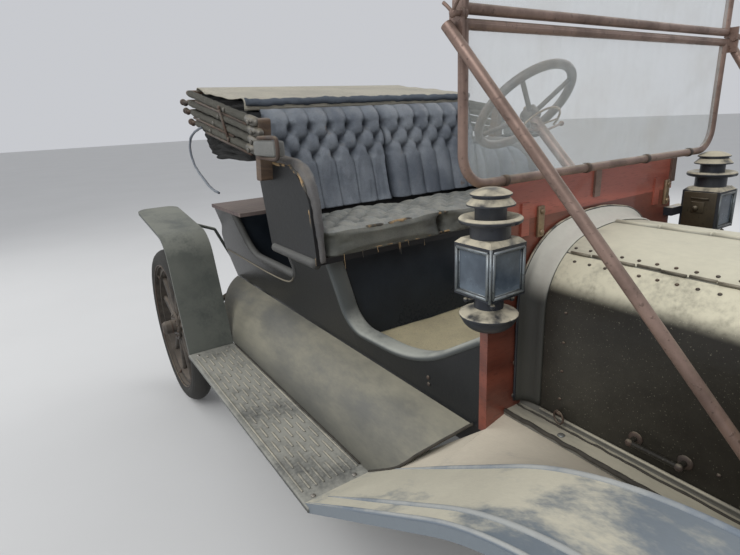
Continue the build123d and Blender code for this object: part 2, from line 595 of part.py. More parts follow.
def knuckle(side):
    """Steering knuckle: barrel on the kingpin, wheel spindle, steering arm and its pin."""
    pivot = (FRONT_X, KINGPIN_Y, AXLE_Z)
    solid = Pos(*pivot) * Cylinder(KNUCKLE_RADIUS - 1, KNUCKLE_HEIGHT)
    solid += rod(pivot, (FRONT_X, WHEEL_Y + SPINDLE_REACH, AXLE_Z), SPINDLE_RADIUS)
    solid += rod(pivot, (FRONT_X, WHEEL_Y - HUB_INNER - SPINDLE_SHOULDER, AXLE_Z), SPINDLE_ROOT)
    half = STEER_ARM_SIZE / 2
    pin_x = FRONT_X - STEER_ARM
    solid += block(
        pin_x, FRONT_X, KINGPIN_Y - half, KINGPIN_Y + half, STEER_ARM_Z - half, STEER_ARM_Z + half
    )
    solid += Pos(pin_x, KINGPIN_Y, STEER_ARM_Z) * Cylinder(TIE_EYE_RADIUS, STEER_ARM_SIZE)
    pin_top = STEER_ARM_Z + half + LUG_GAP + TIE_EYE_HEIGHT + TIE_PIN_HEAD
    solid += rod((pin_x, KINGPIN_Y, STEER_ARM_Z), (pin_x, KINGPIN_Y, pin_top), TIE_PIN_RADIUS)
    solid -= Pos(*pivot) * Cylinder(KINGPIN_RADIUS + RUNNING_FIT, KNUCKLE_HEIGHT + 2)
    return solid if side > 0 else mirrored(solid)


def pitman_place():
    """The pitman's pivot on the column's axis and its ball, which hangs over the drag link."""
    down = (cos(radians(STEER_SLOPE)), -sin(radians(STEER_SLOPE)))
    link_z = STEER_ARM_Z + STEER_ARM_SIZE / 2 + LUG_GAP + TIE_EYE_HEIGHT / 2
    ball_z = link_z + DRAG_LINK_DROP
    pivot_z = ball_z + PITMAN_ARM * down[0]
    pivot_x = DASH_X + (STEER_DASH_Z - pivot_z) / tan(radians(STEER_SLOPE))
    return (pivot_x, pivot_z), (pivot_x + PITMAN_ARM * down[1], ball_z), link_z


def tie_rod_parts():
    """Tie rod between the steering arms, with the drag link that pushes it from the left."""
    _, (ball_x, _), link_z = pitman_place()
    x = FRONT_X - STEER_ARM
    solid = rod((x, -KINGPIN_Y, link_z), (x, KINGPIN_Y, link_z), TIE_ROD_RADIUS)
    solid += rod((ball_x, STEER_Y, link_z), (x, DRAG_LINK_END_Y, link_z), DRAG_LINK_RADIUS)
    solid += Pos(ball_x, STEER_Y, link_z) * Cylinder(TIE_EYE_RADIUS, TIE_EYE_HEIGHT)
    for side, fit in ((1, OPEN_PIVOT_FIT), (-1, RUNNING_FIT)):
        place = Pos(x, side * KINGPIN_Y, link_z)
        solid += place * Cylinder(TIE_EYE_RADIUS, TIE_EYE_HEIGHT)
        solid -= place * Cylinder(TIE_PIN_RADIUS + fit, TIE_EYE_HEIGHT + 2)
    return [solid]


def column_point(along):
    """A point on the steering column's axis, measured up from the dash's front face."""
    slope = radians(STEER_SLOPE)
    return (DASH_X - along * cos(slope), STEER_Y, STEER_DASH_Z + along * sin(slope))


def steering_column_parts():
    """Fixed jacket of the column, its flange on the dash, its foot bracket and the hand levers."""
    (pivot_x, _), _, _ = pitman_place()
    slope = radians(STEER_SLOPE)
    pivot = (DASH_X - pivot_x) / cos(slope)
    foot = pivot + PITMAN_THICK / 2 + COLUMN_END_GAP
    head = STEERING_WHEEL_BACK - STEERING_DISH - COLUMN_END_GAP
    solid = rod(column_point(foot), column_point(head), COLUMN_RADIUS)
    width, height, thick = COLUMN_FLANGE
    flange_z = column_point(DASH_THICK / cos(slope))[2]
    solid += block(
        DASH_X - DASH_THICK - thick, DASH_X - DASH_THICK, STEER_Y - width / 2, STEER_Y + width / 2,
        flange_z - height / 2, flange_z + height / 2,
    )
    length, height, under = COLUMN_BRACKET
    top = FRAME_TOP - RAIL_WALL - under
    foot_x, _, _ = column_point(pivot + COLUMN_BRACKET_UP)
    solid += block(
        foot_x - length / 2, foot_x + length / 2, STEER_Y, RAIL_OUTER_Y - RAIL_WALL, top - height, top
    )
    joint = column_point(pivot + COLUMN_BRACKET_UP - COLUMN_BRACKET[2])
    solid += rod(joint, (foot_x, STEER_Y, top - height / 2), BRACKET_PIN)
    reach, radius, knob = HAND_LEVER
    root_down, tip_down = HAND_LEVER_DOWN
    for side in (1, -1):
        x, y, z = column_point(head - tip_down)
        solid += rod(column_point(head - root_down), (x, y + side * reach, z), radius)
        solid += Pos(x, y + side * reach, z) * Sphere(knob)
    return [solid]


def steering_wheel_parts():
    """Thick wooden rim, four spokes that dish down to the hub."""
    centre = column_point(STEERING_WHEEL_BACK)
    up = Vector(*column_point(1)) - Vector(*column_point(0))
    plane = Plane(origin=centre, z_dir=up, x_dir=(0, 1, 0))
    solid = plane * Torus(STEERING_WHEEL_RADIUS, STEERING_RIM_RADIUS)
    hub_middle = STEERING_HUB_HEIGHT / 2 - STEERING_DISH
    solid += plane * (Pos(0, 0, hub_middle) * Cylinder(STEERING_HUB_RADIUS, STEERING_HUB_HEIGHT))
    root = plane.from_local_coords((0, 0, hub_middle - STEERING_SPOKE_DROP))
    for count in range(STEERING_SPOKES):
        angle = 2 * pi * (count + 0.5) / STEERING_SPOKES
        tip = plane.from_local_coords(
            (STEERING_WHEEL_RADIUS * cos(angle), STEERING_WHEEL_RADIUS * sin(angle), 0)
        )
        solid += rod(tuple(root), tuple(tip), STEERING_SPOKE)
    return [solid]


def pitman_parts():
    """The arm at the column's foot, with its ball."""
    (pivot_x, pivot_z), (ball_x, ball_z), _ = pitman_place()
    way = (ball_x - pivot_x, 0, ball_z - pivot_z)
    slope = radians(STEER_SLOPE)
    plane = Plane(origin=(pivot_x, STEER_Y, pivot_z), x_dir=way, z_dir=(-cos(slope), 0, sin(slope)))
    outline = Circle(PITMAN_HUB) + Pos(PITMAN_ARM / 2, 0) * Rectangle(PITMAN_ARM, PITMAN_WIDTH)
    solid = plane * extrude(outline, amount=PITMAN_THICK / 2, both=True)
    solid += Pos(ball_x, STEER_Y, ball_z) * Sphere(PITMAN_BALL)
    return [solid]


def rear_axle_parts():
    """Axle tube with the differential, torque tube, radius rods, backing plates and shafts."""
    drum_in = WHEEL_Y - HUB_INNER - DRUM_GAP
    short, thick = BACKING_PLATE
    shaft_y = WHEEL_Y + SPINDLE_REACH
    tube_y = drum_in - thick + 2
    behind, rod_y, rod_z = REAR_ROD_END
    solid = rod((REAR_X, -tube_y, AXLE_Z), (REAR_X, tube_y, AXLE_Z), AXLE_TUBE)
    solid += rod((REAR_X, -shaft_y, AXLE_Z), (REAR_X, shaft_y, AXLE_Z), SPINDLE_RADIUS)
    solid += Pos(REAR_X, 0, AXLE_Z) * Sphere(DIFFERENTIAL)
    solid += rod((REAR_X, 0, AXLE_Z), (GEARBOX_REAR_X, 0, ENGINE[3] + TORQUE_TUBE_Z), TORQUE_TUBE)
    for side in (1, -1):
        root = (REAR_X, side * (drum_in - REAR_ROD_ROOT), AXLE_Z)
        solid += rod(root, (GEARBOX_REAR_X - behind, side * rod_y, ENGINE[3] + rod_z), RADIUS_ROD)
        solid += rod(
            (REAR_X, side * (drum_in - thick), AXLE_Z), (REAR_X, side * drum_in, AXLE_Z), DRUM_RADIUS - short
        )
    length, half = REAR_TUBE_NOTCH
    solid -= block(GEARBOX_REAR_X, GEARBOX_REAR_X + length, -half, half, AXLE_Z, GEARBOX_TOP_Z)
    return [solid]


def wheel(axle_x, side, drum):
    """Wooden-spoked wheel with its hub, felloe and steel rim, and a brake drum at the rear."""
    inner = WHEEL_Y - HUB_INNER
    outer = WHEEL_Y + HUB_OUTER
    bevel, bevel_length = HUB_BEVEL
    solid = turned(
        [
            (0, inner), (HUB_RADIUS, inner), (HUB_RADIUS, outer - bevel_length),
            (HUB_RADIUS - bevel, outer), (0, outer),
        ],
        (axle_x, AXLE_Z),
    )
    flange_in = WHEEL_Y - SPOKE_ROOT - HUB_FLANGE
    for low in (flange_in, WHEEL_Y + SPOKE_ROOT):
        solid += rod((axle_x, low, AXLE_Z), (axle_x, low + HUB_FLANGE, AXLE_Z), HUB_FLANGE_RADIUS)
    core_in, core_out = WHEEL_Y - SPOKE_ROOT, WHEEL_Y + SPOKE_ROOT
    solid += rod((axle_x, core_in, AXLE_Z), (axle_x, core_out, AXLE_Z), HUB_CORE)
    rim_in = RIM_RADIUS - RIM_DEPTH
    felloe_in = rim_in - FELLOE_DEPTH
    half = FELLOE_WIDTH / 2
    rim = RIM_WIDTH / 2
    solid += turned(
        [
            (felloe_in, WHEEL_Y - half), (rim_in, WHEEL_Y - half), (rim_in, WHEEL_Y - rim),
            (RIM_RADIUS, WHEEL_Y - rim), (RIM_RADIUS, WHEEL_Y + rim), (rim_in, WHEEL_Y + rim),
            (rim_in, WHEEL_Y + half), (felloe_in, WHEEL_Y + half),
        ],
        (axle_x, AXLE_Z),
    )
    middle = Vector(axle_x, WHEEL_Y, AXLE_Z)
    for count in range(SPOKE_COUNT):
        angle = 2 * pi * (count + 0.5) / SPOKE_COUNT
        way = Vector(cos(angle), 0, sin(angle))
        plane = Plane(origin=middle + way * HUB_RADIUS, z_dir=way)
        solid += Solid.make_cone(SPOKE_ROOT, SPOKE_TIP, felloe_in + SPOKE_SUNK - HUB_RADIUS, plane)
    if drum:
        solid += turned(
            [
                (HUB_RADIUS - 2, flange_in - DRUM_WALL), (DRUM_RADIUS, flange_in - DRUM_WALL),
                (DRUM_RADIUS, inner), (DRUM_RADIUS - DRUM_WALL, inner),
                (DRUM_RADIUS - DRUM_WALL, flange_in), (HUB_RADIUS - 2, flange_in),
            ],
            (axle_x, AXLE_Z),
        )
    solid -= rod(
        (axle_x, inner - 1, AXLE_Z), (axle_x, WHEEL_Y + SPINDLE_REACH + 2, AXLE_Z),
        SPINDLE_RADIUS + RUNNING_FIT,
    )
    return solid if side > 0 else mirrored(solid)


def tyre(axle_x, side):
    """Round-section tyre, cut flat where it seats on the rim."""
    middle = TYRE_RADIUS - TYRE_SECTION
    drop = middle - RIM_RADIUS
    half = (TYRE_SECTION**2 - drop**2) ** 0.5
    top = AXLE_Z + TYRE_RADIUS
    seat = AXLE_Z + RIM_RADIUS
    edge_in, edge_out = (axle_x, WHEEL_Y - half, seat), (axle_x, WHEEL_Y + half, seat)
    arc = ThreePointArc(edge_in, (axle_x, WHEEL_Y, top), edge_out)
    base = Line(edge_out, edge_in)
    ring = revolve(Face(Wire([arc.edge(), base.edge()])), Axis((axle_x, 0, AXLE_Z), (0, 1, 0)), 360)
    return ring if side > 0 else mirrored(ring)


def crown_line():
    """(x, z) corners and radii of the front fender's crown, from the running board forward."""
    crest = 2 * TYRE_RADIUS + FENDER_GAP
    nose_radius = TYRE_RADIUS + FENDER_GAP
    fall = radians(FENDER_FALL)
    nose = radians(FENDER_NOSE)
    knee_x = FRONT_X - FENDER_SWEEP * tan(fall / 2) - 1
    brow_x = FRONT_X + nose_radius * tan(nose / 2) + 1
    tip = nose_radius * tan(nose / 2) + 1
    foot_x = knee_x - (crest - BOARD_TOP) / tan(fall)
    corners = [
        (foot_x, BOARD_TOP), (knee_x, crest), (brow_x, crest),
        (brow_x + tip * cos(nose), crest - tip * sin(nose)),
    ]
    return corners, [FENDER_SWEEP, nose_radius]


def sweep_span():
    """Where the front crown's long curve starts and ends along the car."""
    knee_x = crown_line()[0][1][0]
    fall = radians(FENDER_FALL)
    tangent = FENDER_SWEEP * tan(fall / 2)
    return knee_x - tangent * cos(fall), knee_x + tangent


def crown_height(x):
    """Height of the crown's top above a place behind the front axle."""
    (foot_x, foot_z), (_, crest) = crown_line()[0][:2]
    start_x, end_x = sweep_span()
    if x <= start_x:
        return foot_z + (x - foot_x) * tan(radians(FENDER_FALL))
    if x >= end_x:
        return crest
    return crest - FENDER_SWEEP + (FENDER_SWEEP**2 - (end_x - x) ** 2) ** 0.5


def front_fender():
    """Crowned front fender with its lip, and the two apron sheets that run in to the hood ledge."""
    corners, radii = crown_line()
    crown = sheet(corners, radii, SHEET, FENDER_INNER_Y, FENDER_OUTER_Y)
    crown += sheet(corners, radii, FENDER_LIP, FENDER_OUTER_Y - SHEET, FENDER_OUTER_Y)
    crown -= running_board()
    ledge_z = LEDGE_Z - LEDGE_THICK
    edge_y = FENDER_INNER_Y - SOFT_GAP
    tail_x = BOARD_FRONT_X + 14
    beside_dash_y = DASH_HALF + 2
    share = (beside_dash_y - LEDGE_OUTER_Y) / (edge_y - LEDGE_OUTER_Y)
    beside_dash_z = ledge_z + share * (crown_height(DASH_X) - ledge_z)
    curve_x = sweep_span()[0]
    step = (APRON_FRONT_X - curve_x) / INNER_APRON_STEPS
    along_ledge = [DASH_X] + [curve_x + step * count for count in range(INNER_APRON_STEPS + 1)]
    runs = (                   # each a row of x, inner y and inner z
        [(tail_x, edge_y - 6, crown_height(tail_x)), (DASH_X - SOFT_GAP, beside_dash_y, beside_dash_z)],
        [(x, LEDGE_OUTER_Y, ledge_z) for x in along_ledge],
    )
    aprons = []
    for run in runs:
        sections = []
        for x, inner_y, inner_z in run:
            outer_z = crown_height(x)
            sections.append(
                Wire.make_polygon([
                    (x, inner_y, inner_z), (x, edge_y, outer_z),
                    (x, edge_y, outer_z - SHEET), (x, inner_y, inner_z - SHEET),
                ])
            )
        aprons.append(Solid.make_loft(sections, ruled=True))
    return [crown, *aprons]


def rear_fender_line():
    """(x, z) corners of the rear fender, from the running board up and back to its tip."""
    knee_x = REAR_FENDER_FOOT_X - (REAR_FENDER_KNEE_Z - BOARD_TOP) * tan(radians(REAR_FENDER_LEAN))
    return [(REAR_FENDER_FOOT_X, BOARD_TOP - BOARD_THICK), (knee_x, REAR_FENDER_KNEE_Z), REAR_FENDER_TIP]


def rear_fender():
    """Narrow bent rear fender with its outer lip and the rod that carries it."""
    corners = rear_fender_line()
    radii = [REAR_FENDER_KNEE_RADIUS]
    solid = sheet(corners, radii, -SHEET, BOARD_INNER_Y, BOARD_OUTER_Y)
    solid += sheet(corners, radii, -FENDER_LIP / 2, BOARD_OUTER_Y - SHEET, BOARD_OUTER_Y)
    tip_x, tip_z = REAR_FENDER_TIP
    inner, outer = BOARD_INNER_Y - 1, BOARD_OUTER_Y + 1
    corner = REAR_FENDER_TIP_RADIUS
    edge = FilletPolyline(
        (FRONT_X, inner, 0), (tip_x, inner, 0), (tip_x, outer, 0), (FRONT_X, outer, 0),
        radius=[0, corner, corner, 0], close=True,
    )
    solid &= extrude(Face(Wire(edge.edges())), amount=2 * tip_z, dir=(0, 0, 1))
    top = (REAR_X, BOARD_INNER_Y + IRON_TOP[0], tip_z - IRON_TOP[1])
    knee = (REAR_X, BOARD_INNER_Y - IRON_KNEE[0], tip_z - IRON_KNEE[1])
    foot = (REAR_X, RAIL_OUTER_Y - IRON_FOOT, FRAME_TOP + FENDER_IRON)
    solid += rod(top, knee, FENDER_IRON)
    solid += rod(knee, foot, FENDER_IRON)
    return solid


def running_board():
    """One running board: a flat plate."""
    low = BOARD_TOP - BOARD_THICK
    return block(BOARD_REAR_X, BOARD_FRONT_X, BOARD_INNER_Y, BOARD_OUTER_Y, low, BOARD_TOP)


def splash_apron():
    """Bulging sheet between the body's sill and the running board, its ends cut aslant."""
    top = (BODY_HALF + SHEET + APRON_GAP, APRON_TOP_Z)
    foot = (BOARD_INNER_Y, BOARD_TOP)
    length = hypot(foot[0] - top[0], foot[1] - top[1])
    out = ((top[1] - foot[1]) / length, (foot[0] - top[0]) / length)
    middle = ((top[0] + foot[0]) / 2 + out[0] * APRON_SAG, (top[1] + foot[1]) / 2 + out[1] * APRON_SAG)
    x = APRON_REAR_X
    rows = []
    for shift in (0, -SHEET):
        rows.append([(x, y + out[0] * shift, z + out[1] * shift) for y, z in (top, middle, foot)])
    face = Face(Wire([
        ThreePointArc(*rows[0]).edge(), Line(rows[0][2], rows[1][2]).edge(),
        ThreePointArc(*rows[1][::-1]).edge(), Line(rows[1][0], rows[0][0]).edge(),
    ]))
    roll = extrude(face, amount=DASH_X - APRON_REAR_X, dir=(1, 0, 0))
    over = APRON_TOP_Z + APRON_SAG
    under = BOARD_TOP - APRON_SAG
    keep = prism(
        [
            (APRON_REAR_X - APRON_REAR_LEAN, over), (BOARD_REAR_X + 2, under),
            (BOARD_FRONT_X - APRON_END, under), (DASH_X - APRON_END, over),
        ],
        [0, 0, 0, 0], RAIL_OUTER_Y - RAIL_WIDTH, BOARD_OUTER_Y,
    )
    trimmed = roll & keep
    for piece in front_fender():
        trimmed -= piece
    return trimmed.solids().sort_by(SortBy.VOLUME)[-1]


def tail_line():
    """(x, z) corners and radii of the body's tail, from its top down to the frame."""
    line = [(BODY_REAR_X + ahead, BODY_TOP_Z - drop) for ahead, drop, _ in TAIL_LINE]
    return line + [(BODY_REAR_X, FRAME_TOP)], [radius for _, _, radius in TAIL_LINE] + [0]


def side_outline():
    """(x, z) corners and radii of the body's side, with its two low openings."""
    slope = tan(radians(DOOR_SLOPE))
    meet_x = DASH_X - (DOOR_TOP_Z - DOOR_SILL_Z) / slope
    front_x = DASH_X - DASH_THICK
    rows = [
        (front_x, FRAME_TOP, 0), (front_x, DOOR_TOP_Z - DASH_THICK * slope, 0),
        (meet_x, DOOR_SILL_Z, DOOR_SWEEP), (DOOR_REAR_X, DOOR_SILL_Z, DOOR_CORNER), (DOOR_REAR_X, SEAT_Z, 0),
        (REAR_DOOR_FRONT_X, SEAT_Z, 0), (REAR_DOOR_FRONT_X, REAR_SILL_Z, REAR_CORNER[0]),
        (BOX_FRONT_X + BOX_LEAN[0], REAR_SILL_Z, REAR_CORNER[1]), (BOX_FRONT_X - BOX_LEAN[1], BODY_TOP_Z, 0),
    ]
    tail, tail_radii = tail_line()
    return [(x, z) for x, z, _ in rows] + tail, [radius for _, _, radius in rows] + tail_radii


def flare(x):
    """How far the side leans out for each unit of height at a place along the body."""
    share = (DASH_X - DASH_THICK - x) / (DASH_X - DASH_THICK - FLARE_FULL_X)
    return BODY_FLARE * min(max(share, 0.0), 1.0)


def body_half_width(x, z):
    """Outside of the body's side at a height."""
    return BODY_HALF + flare(x) * (z - FRAME_TOP)


def side_wall(inset, wall, low, high, rear, front):
    """A leaning wall of the body between two heights, set in from its outside."""
    sections = []
    stations = [rear, front]
    if rear < FLARE_FULL_X < front:
        stations.insert(1, FLARE_FULL_X)
    for x in stations:
        points = []
        for z, depth in ((low, inset), (high, inset), (high, inset + wall), (low, inset + wall)):
            points.append((x, body_half_width(x, z) - depth, z))
        sections.append(Wire.make_polygon(points))
    return Solid.make_loft(sections, ruled=True)


def body_side():
    """One side of the body as a wall with its outline cut."""
    corners, radii = side_outline()
    wall = side_wall(0, BODY_WALL, FRAME_TOP, BODY_TOP_Z, BODY_REAR_X, DASH_X - DASH_THICK)
    return wall & prism(corners, radii, RAIL_OUTER_Y - RAIL_WIDTH, SEAT_HALF + BODY_WALL)


def between_sides(solid, rear, front, low, high):
    """What of a solid lies between the insides of the body's two sides."""
    sections = []
    stations = [rear, front]
    if rear < FLARE_FULL_X < front:
        stations.insert(1, FLARE_FULL_X)
    for x in stations:
        half_low = body_half_width(x, low) - BODY_WALL
        half_high = body_half_width(x, high) - BODY_WALL
        sections.append(Wire.make_polygon([
            (x, -half_low, low), (x, half_low, low), (x, half_high, high), (x, -half_high, high)
        ]))
    return solid & Solid.make_loft(sections, ruled=True)


def floor_parts():
    """Floor boards with the sloping toe board."""
    rear = BODY_REAR_X + PANEL
    front = DASH_X - DASH_THICK
    length, rise, thick = TOE_BOARD
    low = FLOOR_Z - 5
    solid = block(rear, front, -SEAT_HALF, SEAT_HALF, FRAME_TOP, FLOOR_Z)
    top = FLOOR_Z + rise
    toe = [(front - length, low), (front, top), (front, top - thick), (front - length + TOE_FOOT, low)]
    solid += prism(toe, [0, 0, 0, 0], -SEAT_HALF, SEAT_HALF)
    return [between_sides(solid, rear, front, FRAME_TOP, FLOOR_Z + rise)]


def body_panel_parts():
    """Cross panels between the sides: seat riser front and rear, box front, and rear panel."""
    parts = []
    rows = (                   # rear face and top of each cross panel
        (DOOR_REAR_X - RISER_INSET[0], SEAT_Z), (REAR_DOOR_FRONT_X + RISER_INSET[1], SEAT_Z),
        (BOX_FRONT_X - RISER_INSET[2], BODY_TOP_Z),
    )
    for x, top in rows:
        plate = block(x, x + PANEL, -SEAT_HALF, SEAT_HALF, FLOOR_Z, top)
        parts.append(between_sides(plate, x - 5, x + PANEL + 5, FLOOR_Z, BODY_TOP_Z))
    corners, radii = tail_line()
    rear = sheet(corners, radii[1:-1], -PANEL, -SEAT_HALF, SEAT_HALF)
    parts.append(between_sides(rear, BODY_REAR_X, BOX_FRONT_X, FRAME_TOP, BODY_TOP_Z))
    return parts


def box_board_parts():
    """The board on the rear box, where the rear seat was."""
    rear, front = BOX_BOARD
    half = body_half_width(rear, BODY_TOP_Z) + BOX_BOARD_LAP
    return [block(rear, front, -half, half, BODY_TOP_Z, BODY_TOP_Z + BOX_BOARD_THICK)]


def arm_line(inset):
    """(x, z) corners and radii of the arm's front edge, set back by an amount."""
    corners = [
        (SEAT_FRONT_X - ARM_SLANT - inset, ARM_KNEE_Z),
        (SEAT_FRONT_X - ARM_SWEEP - inset, ARM_TOP_Z - ARM_FALL),
    ]
    return corners, [radius - inset / 2 for radius in ARM_CORNERS]


def seat_shell_parts():
    """Seat board, two arm panels and the back panel."""
    low = SEAT_Z + SEAT_BOARD
    edge, edge_radii = arm_line(0)
    outline = [
        (SEAT_FRONT_X, SEAT_Z), *edge, (back_x(ARM_TOP_Z), ARM_TOP_Z), (back_x(BACK_TOP_Z), BACK_TOP_Z),
        (back_x(BACK_TOP_Z) - SEAT_SHELL, BACK_TOP_Z), (SEAT_REAR_X - SEAT_SHELL, SEAT_Z),
    ]
    solid = prism(outline, [0, *edge_radii, 0, 0, 0, 0], -SEAT_HALF, SEAT_HALF)
    clear_x = SEAT_FRONT_X + SEAT_BOARD
    clear_z = BACK_TOP_Z + SEAT_BOARD
    inside = [(clear_x, low), (clear_x, clear_z), (back_x(clear_z), clear_z), (back_x(low), low)]
    half = SEAT_HALF - SEAT_SHELL
    return [solid - prism(inside, [0, 0, 0, 0], -half, half)]


def cushion_parts():
    """Two seat cushions side by side."""
    low = SEAT_Z + SEAT_BOARD + SOFT_GAP
    inner = SEAT_HALF - SEAT_SHELL - BOLSTER - 2 * SOFT_GAP
    rear = SEAT_REAR_X + BACK_PAD * CUSHION_BACK
    cushion = block(rear, SEAT_FRONT_X - 2, CUSHION_SPLIT, inner, low, low + CUSHION_HEIGHT)
    cushion = fillet(cushion.edges().filter_by(Axis.Z), CUSHION_CORNER)
    return [cushion, mirrored(cushion)]


def back_x(z):
    """Front face of the seat's back panel at a height."""
    return SEAT_REAR_X - BACK_LEAN * (z - SEAT_Z) / (BACK_TOP_Z - SEAT_Z)


def back_pad_parts():
    """Two padded backs, and a padded bolster inside each arm."""
    low = SEAT_Z + SEAT_BOARD + CUSHION_HEIGHT + PAD_GAP
    high = BACK_TOP_Z + PAD_RISE
    inner = SEAT_HALF - SEAT_SHELL - BOLSTER - 2 * SOFT_GAP
    foot_x, head_x = back_x(low) + SOFT_GAP, back_x(high) + SOFT_GAP
    pad = prism(
        [(foot_x, low), (head_x, high), (head_x + BACK_PAD * PAD_TAPER, high), (foot_x + BACK_PAD, low)],
        [0, *PAD_CORNERS], CUSHION_SPLIT, inner,
    )
    arm_y = SEAT_HALF - SEAT_SHELL - SOFT_GAP
    foot_z = SEAT_Z + SEAT_BOARD + SOFT_GAP
    edge, edge_radii = arm_line(BOLSTER_INSET)
    outline = [
        (SEAT_FRONT_X - BOLSTER_INSET, foot_z), edge[0], (edge[1][0], edge[1][1] - BOLSTER_INSET),
        (back_x(ARM_TOP_Z - BOLSTER_INSET) + 1, ARM_TOP_Z - BOLSTER_INSET), (back_x(foot_z) + 1, foot_z),
    ]
    bolster = prism(outline, [0, *edge_radii, 0, 0], arm_y - BOLSTER, arm_y)
    return [shape for piece in (pad, bolster) for shape in both(piece)]


def top_bow_parts():
    """Bows of the folded top, each a bar along both sides and across the rear, on pivot irons."""
    solid = None
    for front_x, front_z, rear_x, rear_z in BOW_TABLE:
        start = DASH_X + front_x
        end = DASH_X + rear_x
        bow = rod((end, -BOW_Y, rear_z), (end, BOW_Y, rear_z), BOW_RADIUS)
        for side in (1, -1):
            bow += rod((start, side * BOW_Y, front_z), (end, side * BOW_Y, rear_z), BOW_RADIUS)
            bow += Pos(end, side * BOW_Y, rear_z) * Sphere(BOW_RADIUS)
        solid = bow if solid is None else solid + bow
    low_x, low_z, _, _ = BOW_TABLE[-1]
    rear, front, lap, radius = TOP_IRON_FOOT
    corners = [(DASH_X + low_x + x, ARM_TOP_Z - lap) for x in (rear, front)]
    corners += [(DASH_X + low_x + x, low_z + z) for x, z, _ in TOP_IRON_HEAD]
    iron = prism(corners, [radius, radius] + [radius for _, _, radius in TOP_IRON_HEAD], SEAT_HALF, BOW_Y)
    return [solid + iron + mirrored(iron)]


def top_cover_parts():
    """The folded cloth: a flat cover over the bows and a bundle hanging under it."""
    front_x, front_z, rear_x, rear_z = BOW_TABLE[0]
    rear = DASH_X + rear_x + BOW_RADIUS + SOFT_GAP
    corners = [(rear, rear_z + z) for z, _ in TOP_FOLD_REAR]
    corners += [(DASH_X + front_x + x, front_z + z) for x, z, _ in TOP_FOLD]
    radii = [radius for _, radius in TOP_FOLD_REAR] + [radius for _, _, radius in TOP_FOLD]
    return [prism(corners, radii, -TOP_HALF, TOP_HALF)]


def tube_loop(low, high, corner_low, corner_high):
    """Windshield frame tube: straight sides and quarter-round corners."""
    solid = None
    radius = SHIELD_TUBE
    spans = []
    for z, corner in ((low, corner_low), (high, corner_high)):
        reach = SHIELD_HALF - corner
        spans.append(rod((GLASS_X, -reach, z), (GLASS_X, reach, z), radius))
    for side in (1, -1):
        y = side * SHIELD_HALF
        spans.append(rod((GLASS_X, y, low + corner_low), (GLASS_X, y, high - corner_high), radius))
        for z, corner, sign in ((low, corner_low, 1), (high, corner_high, -1)):
            centre = (GLASS_X, y - side * corner, z + sign * corner)
            if corner == 0:
                spans.append(Pos(*centre) * Sphere(radius))
                continue
            ring = Plane(origin=centre, z_dir=(1, 0, 0)) * Torus(corner, radius)
            ys = sorted((centre[1], centre[1] + side * (corner + 2 * radius)))
            zs = sorted((centre[2], centre[2] - sign * (corner + 2 * radius)))
            spans.append(ring & block(GLASS_X - 2 * radius, GLASS_X + 2 * radius, *ys, *zs))
    for span in spans:
        solid = span if solid is None else solid + span
    return solid


def hinge_axis():
    """(x, z) of the windshield's hinge pins."""
    return GLASS_X + HINGE_AHEAD, SHIELD_SPLIT_Z


def shield_lower_parts():
    """Lower windshield frame with its feet on the dash, hinge pins and stay lugs."""
    high = SHIELD_SPLIT_Z - SHIELD_PART
    solid = tube_loop(SHIELD_BOTTOM_Z, high, SHIELD_CORNER, 0)
    width, thick, height, over = SHIELD_FOOT
    foot_top = DASH_TOP_Z + SHIELD_FOOT_RISE
    for y in SHIELD_FOOT_Y:
        ys = (y - width / 2, y + width / 2)
        solid += block(DASH_X, DASH_X + thick, *ys, DASH_TOP_Z - height, foot_top)
        solid += block(DASH_X, GLASS_X + SHIELD_FOOT_LAP, *ys, DASH_TOP_Z, DASH_TOP_Z + over)
    axis_x, axis_z = hinge_axis()
    inner = SHIELD_HALF + HINGE_OUT + HINGE_PLATE + 1
    lug_low, lug_high = STAY_TOP_Z - HINGE_LUG[1], STAY_TOP_Z - HINGE_LUG[0]
    half = HINGE_PLATE_HALF
    lug = block(GLASS_X - half, GLASS_X + half, SHIELD_HALF, inner + 1, lug_low, lug_high)
    lug += block(GLASS_X - half, axis_x + half, inner, inner + HINGE_PLATE, lug_low, axis_z)
    lug += rod((axis_x, inner, axis_z), (axis_x, inner + HINGE_PLATE, axis_z), HINGE_EYE)
    lug += rod(
        (axis_x, SHIELD_HALF + HINGE_OUT - 2, axis_z), (axis_x, inner + HINGE_PLATE + HINGE_PIN_END, axis_z),
        HINGE_PIN,
    )
    return [solid + lug + mirrored(lug)]


def shield_upper_parts():
    """Upper windshield frame, which folds forward on the hinge pins."""
    solid = tube_loop(SHIELD_SPLIT_Z + SHIELD_PART, SHIELD_TOP_Z, 0, SHIELD_CORNER / 2)
    axis_x, axis_z = hinge_axis()
    inner = SHIELD_HALF + HINGE_OUT
    outer = inner + HINGE_PLATE
    lug_low, lug_high = UPPER_LUG
    half = HINGE_PLATE_HALF
    lug = block(GLASS_X - half, axis_x + half, inner, outer, axis_z, axis_z + lug_high)
    lug += rod((axis_x, inner, axis_z), (axis_x, outer, axis_z), HINGE_EYE)
    lug += block(GLASS_X - half, GLASS_X + half, SHIELD_HALF, inner + 1, axis_z + lug_low, axis_z + lug_high)
    lug -= rod((axis_x, inner - 1, axis_z), (axis_x, outer + 1, axis_z), HINGE_PIN + RUNNING_FIT)
    return [solid + lug + mirrored(lug)]


def pane(low, high):
    """A pane of glass that fills a windshield frame."""
    inside = SHIELD_TUBE
    return block(
        GLASS_X - GLASS / 2, GLASS_X + GLASS / 2, -SHIELD_HALF + inside, SHIELD_HALF - inside,
        low + inside, high - inside,
    )


